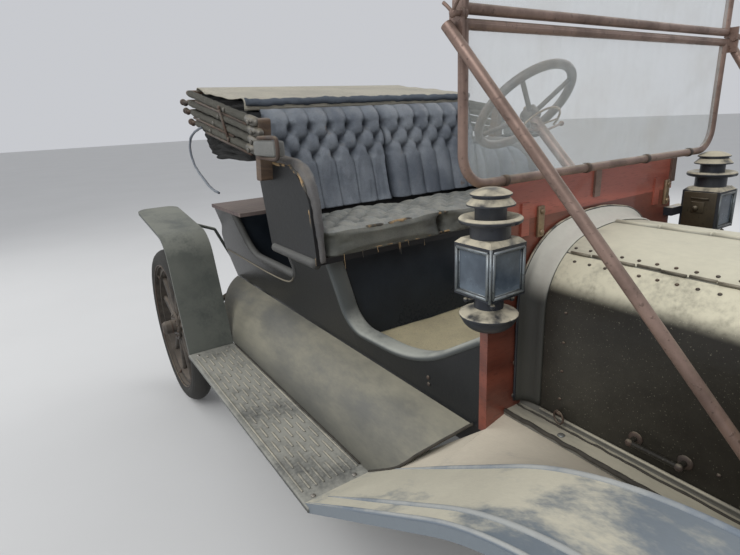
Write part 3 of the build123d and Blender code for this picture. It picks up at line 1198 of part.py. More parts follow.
def lower_pane():
    """The lower pane, its bottom corners cut round inside the frame."""
    glass = pane(SHIELD_BOTTOM_Z, SHIELD_SPLIT_Z - SHIELD_PART)
    corners = glass.edges().filter_by(Axis.X).group_by(Axis.Z)[0]
    return fillet(corners, SHIELD_CORNER - SHIELD_TUBE)


def upper_pane():
    """The upper pane, its top corners cut round inside the frame."""
    glass = pane(SHIELD_SPLIT_Z + SHIELD_PART, SHIELD_TOP_Z)
    corners = glass.edges().filter_by(Axis.X).group_by(Axis.Z)[-1]
    return fillet(corners, SHIELD_CORNER / 2 - SHIELD_TUBE)


def stay_parts():
    """The two long stay rods from the windshield down to the front of the frame."""
    parts = []
    for side in (1, -1):
        stay = rod(
            (GLASS_X, side * STAY_TOP_Y, STAY_TOP_Z),
            (STAY_FOOT_X, side * STAY_FOOT_Y, FRAME_TOP + STAY_RADIUS), STAY_RADIUS,
        )
        parts.append(stay - shield_lower_parts()[0])
    return parts


def hood_section(grow):
    """(y, z) corners and radii of the hood's arch from the left foot over the crown to the right."""
    half = HOOD_HALF + grow
    shoulder = HOOD_SHOULDER_Z + grow
    crown = HOOD_CROWN_Z + grow
    corners = [
        (half, HOOD_BOTTOM_Z), (half, shoulder), (0, crown), (-half, shoulder), (-half, HOOD_BOTTOM_Z)
    ]
    return corners, [HOOD_SHOULDER + grow, HOOD_CROWN_RADIUS, HOOD_SHOULDER + grow]


def arch(x0, x1, grow, wall):
    """A length of the hood's arch as a shell, its outside grown by an amount."""
    corners, radii = hood_section(grow)
    around, round_radii = band(corners, radii, -wall)
    wire = FilletPolyline(*[(x0, y, z) for y, z in around], radius=round_radii, close=True)
    return extrude(Face(Wire(wire.edges())), amount=x1 - x0, dir=(1, 0, 0))


def arch_solid(x0, x1, grow, foot_z):
    """A length of the hood's arch as a full block."""
    corners, radii = hood_section(grow)
    corners = [(corners[0][0], foot_z), *corners[1:-1], (corners[-1][0], foot_z)]
    wire = FilletPolyline(*[(x0, y, z) for y, z in corners], radius=[0, *radii, 0], close=True)
    return extrude(Face(Wire(wire.edges())), amount=x1 - x0, dir=(1, 0, 0))


def hood_panels():
    """Top and side panels of the hood, parted at the hinge lines, and a handle on each side."""
    shell = arch(HOOD_REAR_X, HOOD_FRONT_X, 0, HOOD_SKIN)
    gap = HOOD_JOINT / 2
    top = block(HOOD_REAR_X, HOOD_FRONT_X, gap, HOOD_HINGE_Y - gap, HOOD_BOTTOM_Z, HOOD_CLEAR_Z)
    side = block(HOOD_REAR_X, HOOD_FRONT_X, HOOD_HINGE_Y + gap, 2 * HOOD_HALF, HOOD_BOTTOM_Z, HOOD_CLEAR_Z)
    rear, front, z, out, radius = HOOD_HANDLE
    side_panel = (shell & side) + rod((rear, HOOD_HALF + out, z), (front, HOOD_HALF + out, z), radius)
    for x in (rear, front):
        side_panel += rod((x, HOOD_HALF - HOOD_SKIN / 2, z), (x, HOOD_HALF + out, z), radius)
        side_panel += Pos(x, HOOD_HALF + out, z) * Sphere(radius)
    return both(shell & top), both(side_panel)


def shroud_parts():
    """Sheet former between the dash and the hood, with a flange on the dash."""
    outside, width = SHROUD_FLANGE
    solid = arch(DASH_X, HOOD_REAR_X + SHROUD_LAP, -HOOD_SKIN - SHROUD_FIT, SHEET)
    solid += arch(DASH_X, DASH_X + SHEET, outside, width)
    solid += arch(DASH_X, HOOD_REAR_X - SHROUD_GAP, 0, SHEET + HOOD_SKIN)
    return [solid]


def ledge_parts():
    """The ledges beside the hood's feet, and the sills that the hood closes on."""
    back, sill = LEDGE_SILL
    low = LEDGE_Z - LEDGE_THICK
    web_in = LEDGE_OUTER_Y - LEDGE_WEB
    foot_width, foot_thick = LEDGE_FOOT
    rows = (                   # inner and outer y, foot and top
        (LEDGE_INNER_Y - back, LEDGE_OUTER_Y, low, LEDGE_Z),
        (LEDGE_INNER_Y - back, LEDGE_INNER_Y - back + sill, low, HOOD_BOTTOM_Z),
        (web_in, LEDGE_OUTER_Y, FRAME_TOP, LEDGE_Z),
        (web_in, web_in + foot_width, FRAME_TOP, FRAME_TOP + foot_thick),
    )
    ledge = None
    for row in rows:
        slab = block(DASH_X, HOOD_FRONT_X, *row)
        ledge = slab if ledge is None else ledge + slab
    return both(ledge)


def radiator_parts():
    """Radiator shell round its core."""
    rear = HOOD_FRONT_X + RADIATOR_GAP
    front = rear + RADIATOR_DEPTH
    middle = (rear + front) / 2
    half = HOOD_HALF + RADIATOR_GROW - RADIATOR_RIM
    low, high = RADIATOR_FOOT_Z + RADIATOR_OPENING[0], HOOD_SHOULDER_Z - RADIATOR_OPENING[1]
    shell = arch_solid(rear, front, RADIATOR_GROW, RADIATOR_FOOT_Z)
    shell -= block(rear - 1, front + 1, -half, half, low, high)
    for radius, foot, top in FILLER:
        shell += rod((middle, 0, HOOD_CROWN_Z + foot), (middle, 0, HOOD_CROWN_Z + top), radius)
    foot_in, foot_out, inset = RADIATOR_FOOT
    for side in (1, -1):
        ys = sorted((side * foot_in, side * foot_out))
        shell += block(rear + inset, front - inset, *ys, CROSS_Z + CROSS_HEIGHT, RADIATOR_FOOT_Z)
    core = block(rear + CORE_INSET[0], front - CORE_INSET[1], -half, half, low, high)
    count, width, depth = RADIATOR_SLOTS
    face = front - CORE_INSET[1]
    for index in range(count):
        y = half * ((2 * index + 1) / count - 1)
        core -= block(face - depth, face + 1, y - width / 2, y + width / 2, low + depth, high - depth)
    return [shell], [core]


def side_lamp():
    """Square-bodied oil side lamp with two windows, a chimney and a round font, on an arm from the dash."""
    x, y = SIDE_LAMP
    base = SIDE_LAMP_BASE_Z
    half = SIDE_LAMP_BODY / 2
    lamp = block(x - half, x + half, y - half, y + half, base, base + SIDE_LAMP_HEIGHT)
    lamp = chamfer(lamp.edges().group_by(Axis.Z)[-1], SIDE_LAMP_SHOULDER)
    width, height, rise, depth = SIDE_LAMP_WINDOW
    zs = (base + rise, base + rise + height)
    lamp -= block(x + half - depth, x + half + 1, y - width / 2, y + width / 2, *zs)
    lamp -= block(x - width / 2, x + width / 2, y + half - depth, y + half + 1, *zs)
    lamp += lathe(x, y, base, SIDE_LAMP_CHIMNEY, SIDE_LAMP_DOME)
    lamp += lathe(x, y, base, SIDE_LAMP_FONT, SIDE_LAMP_BOWL)
    rise, height, dash_lap, lamp_lap, sunk = SIDE_LAMP_ARM
    ys = (DASH_HALF - dash_lap, y - half + lamp_lap)
    return lamp + block(DASH_X, x - half + sunk, *ys, base + rise, base + rise + height)


def headlamp():
    """Drum-shaped headlamp in a fork that stands on the frame's front end."""
    x, y, z = HEADLAMP_X, HEADLAMP_Y, HEADLAMP_Z
    rear = x - HEADLAMP_DEPTH / 2
    front = x + HEADLAMP_DEPTH / 2
    step, depth, recess = HEADLAMP_BEZEL
    drum = HEADLAMP_RADIUS - step
    lamp = rod((rear, y, z), (front, y, z), drum)
    lamp += rod((front - depth, y, z), (front, y, z), HEADLAMP_RADIUS)
    lamp += Pos(rear, y, z) * Sphere(HEADLAMP_BACK)
    lamp -= rod((front - recess, y, z), (front + 1, y, z), drum)
    lamp += Pos(x, y, z + HEADLAMP_RADIUS) * Cylinder(*HEADLAMP_CHIMNEY)
    prong_z = z - HEADLAMP_RADIUS - FORK_DEPTH[0]
    foot = (x, y, z - HEADLAMP_RADIUS - FORK_DEPTH[1])
    for side in (1, -1):
        prong_y = y + side * (HEADLAMP_RADIUS + FORK_OUT)
        lamp += rod((x, prong_y, z), (x, prong_y, prong_z), FORK_ROD)
        lamp += rod((x, prong_y, z), (x, y + side * (drum - 4), z), FORK_ROD)
        lamp += rod((x, prong_y, prong_z), foot, FORK_ROD)
    radius, socket, height = LAMP_POST
    post_y = RAIL_OUTER_Y - RAIL_WIDTH / 2
    lamp += rod((foot[0], foot[1], foot[2] + 8), (x, post_y, FRAME_TOP + 4), radius)
    lamp += rod((x, post_y, FRAME_TOP), (x, post_y, FRAME_TOP + height), socket)
    return lamp


def tail_lamp_parts():
    """Small square oil lamp on a bracket at the rear left of the body."""
    x, y = BODY_REAR_X - TAIL_LAMP_BACK, TAIL_LAMP_Y
    low, high = TAIL_LAMP_Z
    half = TAIL_LAMP_HALF
    middle = (low + high) / 2
    lamp = block(x - half, x + half, y - half, y + half, low, high)
    for z, radius, height in TAIL_LAMP_STEPS:
        lamp += Pos(x, y, z) * Cylinder(radius, height)
    radius, depth = TAIL_LAMP_LENS
    lamp += rod((x - half, y, middle), (x - half - depth, y, middle), radius)
    width, lap = TAIL_LAMP_ARM
    lamp += block(
        x + half - lap, BODY_REAR_X, y - width / 2, y + width / 2, middle - width / 2, middle + width / 2
    )
    return [lamp]


def dash_parts():
    """Lower dash board, upper board and the straps that join them."""
    rear = DASH_X - DASH_THICK
    lower = block(rear, DASH_X, -DASH_HALF, DASH_HALF, FRAME_TOP, DASH_SPLIT_Z)
    lower = fillet(lower.edges().filter_by(Axis.X).group_by(Axis.Z)[-1], DASH_CORNER)
    lower -= rod(column_point(-3 * DASH_THICK), column_point(3 * DASH_THICK), COLUMN_RADIUS + COLUMN_CLEAR)
    upper_half = DASH_HALF - DASH_STEP
    upper = block(rear, DASH_X, -upper_half, upper_half, DASH_SPLIT_Z, DASH_TOP_Z)
    width, thick, height = STRAP
    low, high = DASH_SPLIT_Z - height / 2, DASH_SPLIT_Z + height / 2
    for y in STRAP_Y:
        upper += block(DASH_X, DASH_X + thick, y - width / 2, y + width / 2, low, high)
    return [lower], [upper]


def control_parts():
    """Three foot pedals through the toe board and the tall hand lever at the left."""
    rear = DASH_X - DASH_THICK
    floor = floor_parts()[0]
    parts = []
    (foot_back, foot_up), (head_back, head_up), radius = PEDAL_STEM
    for y in PEDAL_Y:
        foot = (rear - foot_back, y, FLOOR_Z + foot_up)
        head = (rear - head_back, y, FLOOR_Z + head_up)
        pedal = rod(foot, head, radius)
        pedal += Plane(origin=head, z_dir=Vector(*head) - Vector(*foot)) * Pos(0, 0, 4) * Box(*PEDAL_PAD)
        parts.append(pedal - floor)
    (foot_back, foot_up), (head_back, head_up), radius, knob = LEVER
    lever_y = BODY_HALF - BODY_WALL - LEVER_INSET
    head = (rear - head_back, lever_y, FLOOR_Z + head_up)
    lever = rod((rear - foot_back, lever_y, FLOOR_Z + foot_up), head, radius)
    parts.append(lever + Pos(*head) * Sphere(knob) - floor)
    return parts


def crank_parts():
    """Starting crank under the radiator."""
    front = HOOD_FRONT_X + RADIATOR_GAP + RADIATOR_DEPTH
    z = (CROSS_Z + CROSS_HEIGHT + RADIATOR_FOOT_Z) / 2
    place = (ENGINE[1], 0, z)
    crank = None
    for ahead, y, drop, radius in CRANK:
        end = (front + ahead, y, z - drop)
        arm = rod(place, end, radius)
        crank = arm if crank is None else crank + arm
        place = end
    return [crank]


def both(shape):
    """A shape and its mirror image, as two solids of one node."""
    return [shape, mirrored(shape)]


def build():
    """Every node by name, as a list of solids."""
    tops, sides = hood_panels()
    shell, core = radiator_parts()
    lower_board, upper_board = dash_parts()
    crown, *aprons = front_fender()
    nodes = {
        "chassis_frame": frame_parts(),
        "engine_block": engine_parts(),
        "muffler": muffler_parts(),
        "leaf_springs": spring_parts(),
        "front_axle": front_axle_parts(),
        "rear_axle": rear_axle_parts(),
        "knuckle_right": [knuckle(-1)],
        "knuckle_left": [knuckle(1)],
        "tie_rod": tie_rod_parts(),
        "pitman_arm": pitman_parts(),
        "steering_column": steering_column_parts(),
        "steering_wheel": steering_wheel_parts(),
        "foot_controls": control_parts(),
        "radiator_shell": shell,
        "radiator_core": core,
        "starting_crank": crank_parts(),
        "hood_tops": tops,
        "hood_sides": sides,
        "hood_shroud": shroud_parts(),
        "hood_ledges": ledge_parts(),
        "dash_board": lower_board,
        "dash_top_board": upper_board,
        "windshield_lower_frame": shield_lower_parts(),
        "windshield_lower_glass": [lower_pane()],
        "windshield_upper_frame": shield_upper_parts(),
        "windshield_upper_glass": [upper_pane()],
        "windshield_stays": stay_parts(),
        "front_fenders": both(crown),
        "front_fender_aprons": [shape for apron in aprons for shape in both(apron)],
        "rear_fenders": both(rear_fender()),
        "running_boards": both(running_board()),
        "splash_aprons": both(splash_apron()),
        "body_sides": both(body_side()),
        "body_floor": floor_parts(),
        "body_panels": body_panel_parts(),
        "box_board": box_board_parts(),
        "seat_shell": seat_shell_parts(),
        "seat_cushions": cushion_parts(),
        "seat_back_pads": back_pad_parts(),
        "top_bows": top_bow_parts(),
        "top_cover": top_cover_parts(),
        "side_lamps": both(side_lamp()),
        "headlamps": both(headlamp()),
        "tail_lamp": tail_lamp_parts(),
    }
    for place, axle_x in (("front", FRONT_X), ("rear", REAR_X)):
        for name, side in (("right", -1), ("left", 1)):
            nodes[f"wheel_{place}_{name}"] = [wheel(axle_x, side, place == "rear")]
            nodes[f"tyre_{place}_{name}"] = [tyre(axle_x, side)]
    return nodes


def main():
    """Write one STEP file for each node."""
    os.makedirs("parts", exist_ok=True)
    for name, solids in build().items():
        whole = []
        for shape in solids:
            whole.extend(shape.solids())
        export_step(whole[0] if len(whole) == 1 else Compound(children=whole), f"parts/{name}.step")


main()
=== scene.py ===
# %% [markdown]
# # An open touring car of about 1910
#
# The car has stood in store for years: black enamel gone dull, pale dust on everything that faces up, and
# upholstery worn through at its edges. This file gives them their finishes and adds what CAD leaves out:
# padding, cloth, ribs, rivets, handles and glass. Everything is in metres. X points forward, Y to the
# driver's left, Z up, and the ground is at zero.

# %% Load the car
from math import cos, hypot, pi, radians, sin

import bmesh
import bpy
from mathutils import Matrix, Vector, noise


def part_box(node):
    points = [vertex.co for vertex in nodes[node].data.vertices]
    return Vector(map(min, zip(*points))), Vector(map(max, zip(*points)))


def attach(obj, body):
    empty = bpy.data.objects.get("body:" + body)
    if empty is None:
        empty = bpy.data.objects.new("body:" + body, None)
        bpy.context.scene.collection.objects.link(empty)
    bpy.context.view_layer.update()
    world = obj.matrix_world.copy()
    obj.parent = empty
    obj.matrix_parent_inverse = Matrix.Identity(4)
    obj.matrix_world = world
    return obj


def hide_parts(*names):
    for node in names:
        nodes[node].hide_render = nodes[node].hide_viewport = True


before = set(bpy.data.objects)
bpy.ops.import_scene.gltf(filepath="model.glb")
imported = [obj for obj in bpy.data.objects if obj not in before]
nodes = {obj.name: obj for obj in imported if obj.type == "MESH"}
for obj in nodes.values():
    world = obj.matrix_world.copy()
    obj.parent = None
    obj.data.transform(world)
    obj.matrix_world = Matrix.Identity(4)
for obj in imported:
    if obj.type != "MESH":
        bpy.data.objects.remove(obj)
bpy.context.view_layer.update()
print("nodes:", len(nodes))

# %% [markdown]
# ## Shader maths as Python
#
# A material is a small program made of nodes. Drawn by hand it becomes a web of wires, so here one class
# wraps a node's output and adds the operators: `dust * 0.5 + 0.1` makes two Math nodes. Colours and vectors
# can't go through a Math node without turning grey, so they take Vector Math, and `mix` blends them.


# %% A wrapped socket
class Signal:
    """One output of a shader node, with arithmetic."""

    def __init__(self, tree, socket):
        self.tree = tree
        self.socket = socket

    def join(self, operation, *sides):
        """A Math or Vector Math node over signals and plain values."""
        wide = any(isinstance(side, Signal) and side.socket.type in ("RGBA", "VECTOR") for side in sides)
        node = self.tree.nodes.new("ShaderNodeVectorMath" if wide else "ShaderNodeMath")
        node.operation = operation
        for port, side in zip(node.inputs, sides):
            feed(self.tree, port, side)
        return Signal(self.tree, node.outputs[0])

    def __add__(self, other):
        return self.join("ADD", self, other)

    def __sub__(self, other):
        return self.join("SUBTRACT", self, other)

    def __rsub__(self, other):
        return self.join("SUBTRACT", other, self)

    def __mul__(self, other):
        return self.join("MULTIPLY", self, other)

    __radd__ = __add__
    __rmul__ = __mul__

    def at_least(self, other):
        """The larger of two signals."""
        return self.join("MAXIMUM", self, other)


def feed(tree, port, value):
    """Link a signal to a socket, or set the socket to a plain value."""
    if isinstance(value, Signal):
        tree.links.new(value.socket, port)
    elif port.type == "RGBA" and len(value) == 3:
        port.default_value = (*value, 1.0)
    elif port.type == "VECTOR" and isinstance(value, (int, float)):
        port.default_value = (value, value, value)
    else:
        port.default_value = value


print("sockets wrapped")


# %% A finish being mixed
class Finish:
    """A material, its Principled shader, and the coordinates of the piece that wears it."""

    def __init__(self, name, rough=0.5, metal=0.0, **fixed):
        self.material = bpy.data.materials.new(name)
        self.material.use_nodes = True
        self.tree = self.material.node_tree
        self.shader = self.tree.nodes["Principled BSDF"]
        for key, value in {"Roughness": rough, "Metallic": metal, **fixed}.items():
            feed(self.tree, self.shader.inputs[key.replace("_", " ")], value)
        self.place = self.node("ShaderNodeTexCoord", take="Object")
        self.facing = self.node("ShaderNodeTexCoord", take="Normal")

    def node(self, kind, settings=(), take=0, **values):
        """Any node: its settings first, then its sockets. Underscores in names stand for spaces."""
        node = self.tree.nodes.new(kind)
        for key, value in dict(settings).items():
            setattr(node, key, value)
        for key, value in values.items():
            feed(self.tree, node.inputs[key.replace("_", " ")], value)
        return Signal(self.tree, node.outputs[take])

    def stretched(self, stretch):
        """The piece's coordinates, stretched along the axes."""
        return self.place * Vector(stretch)

    def clouds(self, scale, detail=4.0, rough=0.55, stretch=(1, 1, 1)):
        """Soft random patches from 0 to 1."""
        return self.node("ShaderNodeTexNoise", Vector=self.stretched(stretch), Scale=scale, Detail=detail,
                         Roughness=rough)

    def grains(self, scale, feature="F1"):
        """Distance to the nearest of many scattered points, or to the edges of the cells round them."""
        settings = {"feature": feature}
        return self.node("ShaderNodeTexVoronoi", settings, take="Distance", Vector=self.place, Scale=scale)

    def between(self, value, low, high):
        """0 below low and 1 above high, eased in the middle."""
        eased = {"interpolation_type": "SMOOTHSTEP"}
        return self.node("ShaderNodeMapRange", eased, Value=value, From_Min=low, From_Max=high)

    def part(self, signal, axis):
        """One number of a vector: 0 for X, 1 for Y, 2 for Z."""
        return self.node("ShaderNodeSeparateXYZ", take=axis, Vector=signal)

    def mix(self, share, first, second):
        """A colour that goes from the first to the second as share goes from 0 to 1."""
        node = self.tree.nodes.new("ShaderNodeMix")
        node.data_type = "RGBA"
        for port, value in ((node.inputs[0], share), (node.inputs[6], first), (node.inputs[7], second)):
            feed(self.tree, port, value)
        return Signal(self.tree, node.outputs[2])

    def upward(self, low=0.25, high=0.85):
        """1 where the surface faces the sky, which is where dust settles."""
        return self.between(self.part(self.facing, 2), low, high)

    def paint(self, colour=None, rough=None, height=None, depth=0.001):
        """Send what varies to the shader: colour, roughness and a bump from a height signal."""
        if colour is not None:
            feed(self.tree, self.shader.inputs["Base Color"], colour)
        if rough is not None:
            feed(self.tree, self.shader.inputs["Roughness"], rough)
        if height is not None:
            bump = self.node("ShaderNodeBump", Height=height, Distance=depth)
            feed(self.tree, self.shader.inputs["Normal"], bump)
        return self.material


print("finishes can be mixed")

# %% [markdown]
# ## Enamel and its dust
#
# Every sheet of the car was once glossy black. Now the black shows only on upright faces, and even there it
# is mottled. Dust follows one rule, that it lies on what faces up, so a single mask from the surface's own
# normal drives both the colour and the roughness, and noise breaks its edge so that it doesn't look sprayed
# on.

# %% Enamel finishes
ENAMEL = (0.014, 0.015, 0.016)
DUST = (0.36, 0.32, 0.235)
CHALKY_BLUE = (0.165, 0.195, 0.220)


def dusty_enamel(name, dust=DUST, base=ENAMEL, haze=0.25, low=0.25, high=0.85, gloss=0.32, above=None):
    """Black enamel under a film of haze, with dust where the sheet faces up. If a height is given as above,
    the dust lies only over it."""
    finish = Finish(name, Specular_IOR_Level=0.28)
    patches = finish.clouds(5.0, 6.0, 0.62)
    fine = finish.clouds(90.0, 3.0)
    lying = finish.upward(low, high) * finish.between(patches + fine * 0.3, 0.35, 0.75)
    if above:
        lying = lying * finish.between(finish.part(finish.place, 2), above, above + 0.05)
    veil = lying.at_least(finish.between(finish.clouds(2.2, 7.0, 0.65), 0.35, 0.8) * haze)
    specks = finish.between(finish.clouds(260.0, 2.0), 0.66, 0.72) * 0.18
    colour = finish.mix(specks, finish.mix(veil, base, dust), dust)
    return finish.paint(colour, veil * 0.5 + gloss + fine * 0.1, fine, 0.0004)


black_sheet = dusty_enamel("black sheet", haze=0.12)
body_black = dusty_enamel("body black", dust=(0.11, 0.105, 0.09), haze=0.08, gloss=0.26)
seat_black = dusty_enamel("seat panel black", dust=(0.040, 0.034, 0.026), haze=0.12, gloss=0.34)
# The riser is black enamel. Its bluish base and the heavy bluish film, given here as dust and haze, are a
# painted reflection, not dust.
riser_black_painted_reflection = dusty_enamel(
    "riser black with painted reflection", dust=(0.05, 0.065, 0.085), base=(0.012, 0.017, 0.024), haze=0.5, gloss=0.22,
)
rear_fender_finish = dusty_enamel(
    "rear fender enamel", dust=(0.20, 0.205, 0.175), base=(0.060, 0.068, 0.062), haze=0.6, low=-0.2, high=0.9,
)
board_finish = dusty_enamel(
    "running board enamel", dust=(0.32, 0.315, 0.275), base=(0.09, 0.093, 0.088), haze=0.2,
)
rib_finish = dusty_enamel("rib enamel", dust=(0.43, 0.40, 0.32), base=(0.13, 0.13, 0.12), haze=0.2)
hood_side_finish = dusty_enamel(
    "hood side enamel", dust=(0.66, 0.62, 0.47), base=(0.017, 0.015, 0.012), haze=0.05, low=0.28, high=0.52,
    gloss=0.3, above=0.85,
)
chassis_finish = dusty_enamel("chassis black", dust=(0.10, 0.085, 0.06), base=(0.02, 0.018, 0.016), gloss=0.5)
print("enamel finishes made")

# %% [markdown]
# ## Splash apron, front fenders and hood top
#
# These wide sheets lie where people lean and rub. Dust coats them, and hands have wiped it off in long
# strokes, through to the enamel, which looks blue-grey under the last film. Stretching the noise along the
# car makes strokes out of clouds.

# %% Rubbed dust
def dimmed(colour, share):
    """A colour with its three parts scaled."""
    return tuple(share * part for part in colour)


def rubbed_dust(name, dust, bare, strokes, low, high, reach=(0.0, 0.7), worn=None):
    """Dust with wiped strokes through to the chalky enamel. Worn gives two X values: behind the first the
    dust holds, from the second on it is rubbed most."""
    finish = Finish(name)
    strength = finish.clouds(3.4, 6.0, 0.7, strokes)
    if worn:
        strength = strength + (0.5 - finish.between(finish.part(finish.place, 0), *worn)) * 0.16
    cover = finish.upward(*reach) * finish.between(strength, low, high)
    fine = finish.clouds(70.0, 4.0, 0.6, strokes)
    tone = finish.mix(finish.clouds(8.0, 5.0), dust, dimmed(dust, 0.78))
    colour = finish.mix(fine * 0.16, finish.mix(cover, bare, tone), (0.05, 0.05, 0.05))
    return finish.paint(colour, cover * 0.35 + 0.45, fine, 0.0004)


fender_finish = rubbed_dust(
    "front fender dust", (0.64, 0.60, 0.47), CHALKY_BLUE, (1, 1.8, 1), 0.36, 0.56, worn=(0.60, 1.20),
)
fender_apron_finish = rubbed_dust(
    "fender apron dust", (0.68, 0.61, 0.48), (0.32, 0.31, 0.28), (1, 2.2, 1), 0.25, 0.5,
)
bead_blue = rubbed_dust("fender bead", (0.42, 0.43, 0.41), (0.15, 0.185, 0.225), (1, 1, 1), 0.36, 0.6)
apron_finish = rubbed_dust(
    "splash apron dust", (0.32, 0.30, 0.225), (0.105, 0.105, 0.090), (0.5, 1, 1.6), 0.3, 0.68,
)
hood_top_finish = rubbed_dust(
    "hood top dust", (0.74, 0.70, 0.54), (0.30, 0.29, 0.24), (0.7, 1.5, 1), 0.18, 0.5, (0.1, 0.95),
)
ledge_finish = rubbed_dust("ledge dust", (0.50, 0.46, 0.35), (0.17, 0.165, 0.145), (0.5, 2, 1), 0.3, 0.6)
print("rubbed dust made")

# %% [markdown]
# ## Wood
#
# The dash is mahogany, varnished and reddish, with long straight grain. Grain is a wave texture squeezed
# across the board and bent by noise. The rear box board and the seat's rails are plain dry wood: same
# grain, no varnish.

# %% Wood finishes
def grained(name, light, dark, scale, stretch, rough, coat=0.0, dusty=0.0):
    """Long grain between two browns, with pores and a film of dust."""
    finish = Finish(name, Coat_Weight=coat)
    bend = finish.clouds(3.0, 5.0, 0.6, stretch)
    rings = finish.node(
        "ShaderNodeTexWave", {"wave_type": "BANDS", "bands_direction": "DIAGONAL"}, take=1,
        Vector=finish.stretched(stretch), Scale=scale, Distortion=7.0, Detail=4.0, Detail_Scale=1.6,
    )
    pores = finish.clouds(55.0, 3.0, 0.6, dimmed(stretch, 1.8))
    colour = finish.mix(rings * 0.55 + bend * 0.45, dark, light)
    colour = finish.mix(finish.between(pores, 0.52, 0.72) * 0.45, colour, dimmed(dark, 0.35))
    film = (finish.between(finish.clouds(6.0, 6.0), 0.35, 0.75) + finish.upward(0.5, 0.95)) * dusty
    colour = finish.mix(film, colour, (0.30, 0.25, 0.20))
    return finish.paint(colour, film * 0.4 + rings * 0.06 + rough, pores, 0.0004)


dash_wood = grained(
    "mahogany", (0.225, 0.058, 0.034), (0.105, 0.027, 0.017), 2.2, (1, 0.35, 3), 0.33, 0.25, 0.08,
)
top_board_wood = grained(
    "sunned mahogany", (0.46, 0.120, 0.080), (0.25, 0.060, 0.041), 2.2, (1, 0.35, 4), 0.34, 0.25, 0.10,
)
box_wood = grained("bare board", (0.14, 0.105, 0.10), (0.07, 0.05, 0.05), 3.0, (4.0, 0.6, 1), 0.75, 0.0, 0.25)
bow_wood = grained("bow wood", (0.12, 0.075, 0.045), (0.05, 0.03, 0.02), 6.0, (0.5, 1, 4.0), 0.6, 0.0, 0.25)
wheel_wood = grained("wheel wood", (0.055, 0.045, 0.035), (0.02, 0.017, 0.014), 4.0, (3, 1, 3), 0.6, 0.0, 0.3)
rim_wood = grained(
    "steering rim wood", (0.10, 0.07, 0.05), (0.035, 0.025, 0.02), 5.0, (2, 2, 2), 0.42, 0.1, 0.25,
)
print("wood finishes made")

# %% [markdown]
# ## Brass, iron, glass and rubber
#
# The windshield's tubes were bright brass and are now pinkish brown, with darker spots. The lamps are black
# over brass, with cream dust on every ledge. Glass keeps a thin grey film, without which it would vanish.

# %% Metal finishes
METAL_DUST = (0.42, 0.37, 0.27)


def tarnished(name, bright, dull, rough, metal, dust=0.35, dust_colour=METAL_DUST, reach=(0.35, 0.95)):
    """Old metal: two tones in patches, darker spots, and dust on its upper side."""
    finish = Finish(name, metal=metal)
    patches = finish.between(finish.clouds(9.0, 6.0, 0.65), 0.35, 0.7)
    pits = finish.between(finish.clouds(120.0, 3.0), 0.60, 0.70)
    lying = finish.upward(*reach) * finish.between(finish.clouds(26.0, 4.0), 0.25, 0.6) * dust
    colour = finish.mix(pits * 0.5, finish.mix(patches, bright, dull), dimmed(dull, 0.4))
    colour = finish.mix(lying, colour, dust_colour)
    return finish.paint(colour, patches * 0.15 + lying * 0.4 + rough, pits, 0.0003)


tube_brass = tarnished("brown tube", (0.27, 0.185, 0.15), (0.145, 0.098, 0.08), 0.40, 0.5)
lamp_black = tarnished(
    "lamp black", (0.022, 0.026, 0.036), (0.046, 0.048, 0.052), 0.36, 0.3, dust=1.0,
    dust_colour=(0.55, 0.50, 0.38), reach=(0.12, 0.55),
)
lamp_brass = tarnished("lamp brass", (0.42, 0.33, 0.18), (0.21, 0.16, 0.09), 0.35, 0.8, dust=0.7)
lamp_olive = tarnished("lamp olive", (0.085, 0.068, 0.042), (0.050, 0.040, 0.027), 0.42, 0.5, dust=0.8)
pale_frame = tarnished("glazing frame", (0.21, 0.235, 0.25), (0.10, 0.11, 0.115), 0.36, 0.6, dust=0.3)
old_iron = tarnished("old iron", (0.065, 0.055, 0.05), (0.11, 0.07, 0.05), 0.6, 0.5, dust=0.4)
bright_steel = tarnished("worn steel", (0.42, 0.40, 0.37), (0.26, 0.24, 0.22), 0.34, 0.9, dust=0.2)
core_brass = tarnished("core brass", (0.13, 0.10, 0.06), (0.06, 0.05, 0.035), 0.55, 0.6, dust=0.2)
print("metal finishes made")

# %% Glass and rubber
def pane_finish(name, alpha, tint=(0.80, 0.86, 0.86)):
    """Thin old glass: mostly clear, with a film of dust that catches the light."""
    finish = Finish(name, rough=0.06, IOR=1.45)
    film = finish.between(finish.clouds(5.0, 6.0, 0.65), 0.3, 0.8)
    streaks = finish.between(finish.clouds(16.0, 4.0, 0.6, (1, 3, 0.5)), 0.45, 0.75)
    feed(finish.tree, finish.shader.inputs["Alpha"], film * 0.07 + streaks * 0.06 + alpha)
    return finish.paint(finish.mix(film, tint, (0.66, 0.66, 0.60)), film * 0.10 + 0.04)


window_glass = pane_finish("windshield glass", 0.16)
lamp_glass = pane_finish("lamp glass", 0.62, (0.36, 0.46, 0.52))


def tyre_rubber():
    """Old black rubber, greyed on its tread and crazed."""
    finish = Finish("old rubber", Specular_IOR_Level=0.25)
    crazing = finish.between(finish.grains(140.0), 0.02, 0.10)
    patches = finish.clouds(7.0, 5.0)
    colour = finish.mix(patches, (0.018, 0.018, 0.017), (0.046, 0.044, 0.039))
    return finish.paint(colour, patches * 0.2 + 0.65, crazing, 0.0006)


rubber = tyre_rubber()
print("glass and rubber made")

# %% [markdown]
# ## Dressing the CAD pieces
#
# A CAD piece whose shape is right only needs its finish. This table is the list of which piece wears what.
# The soft pieces aren't in it, because they are replaced further down.

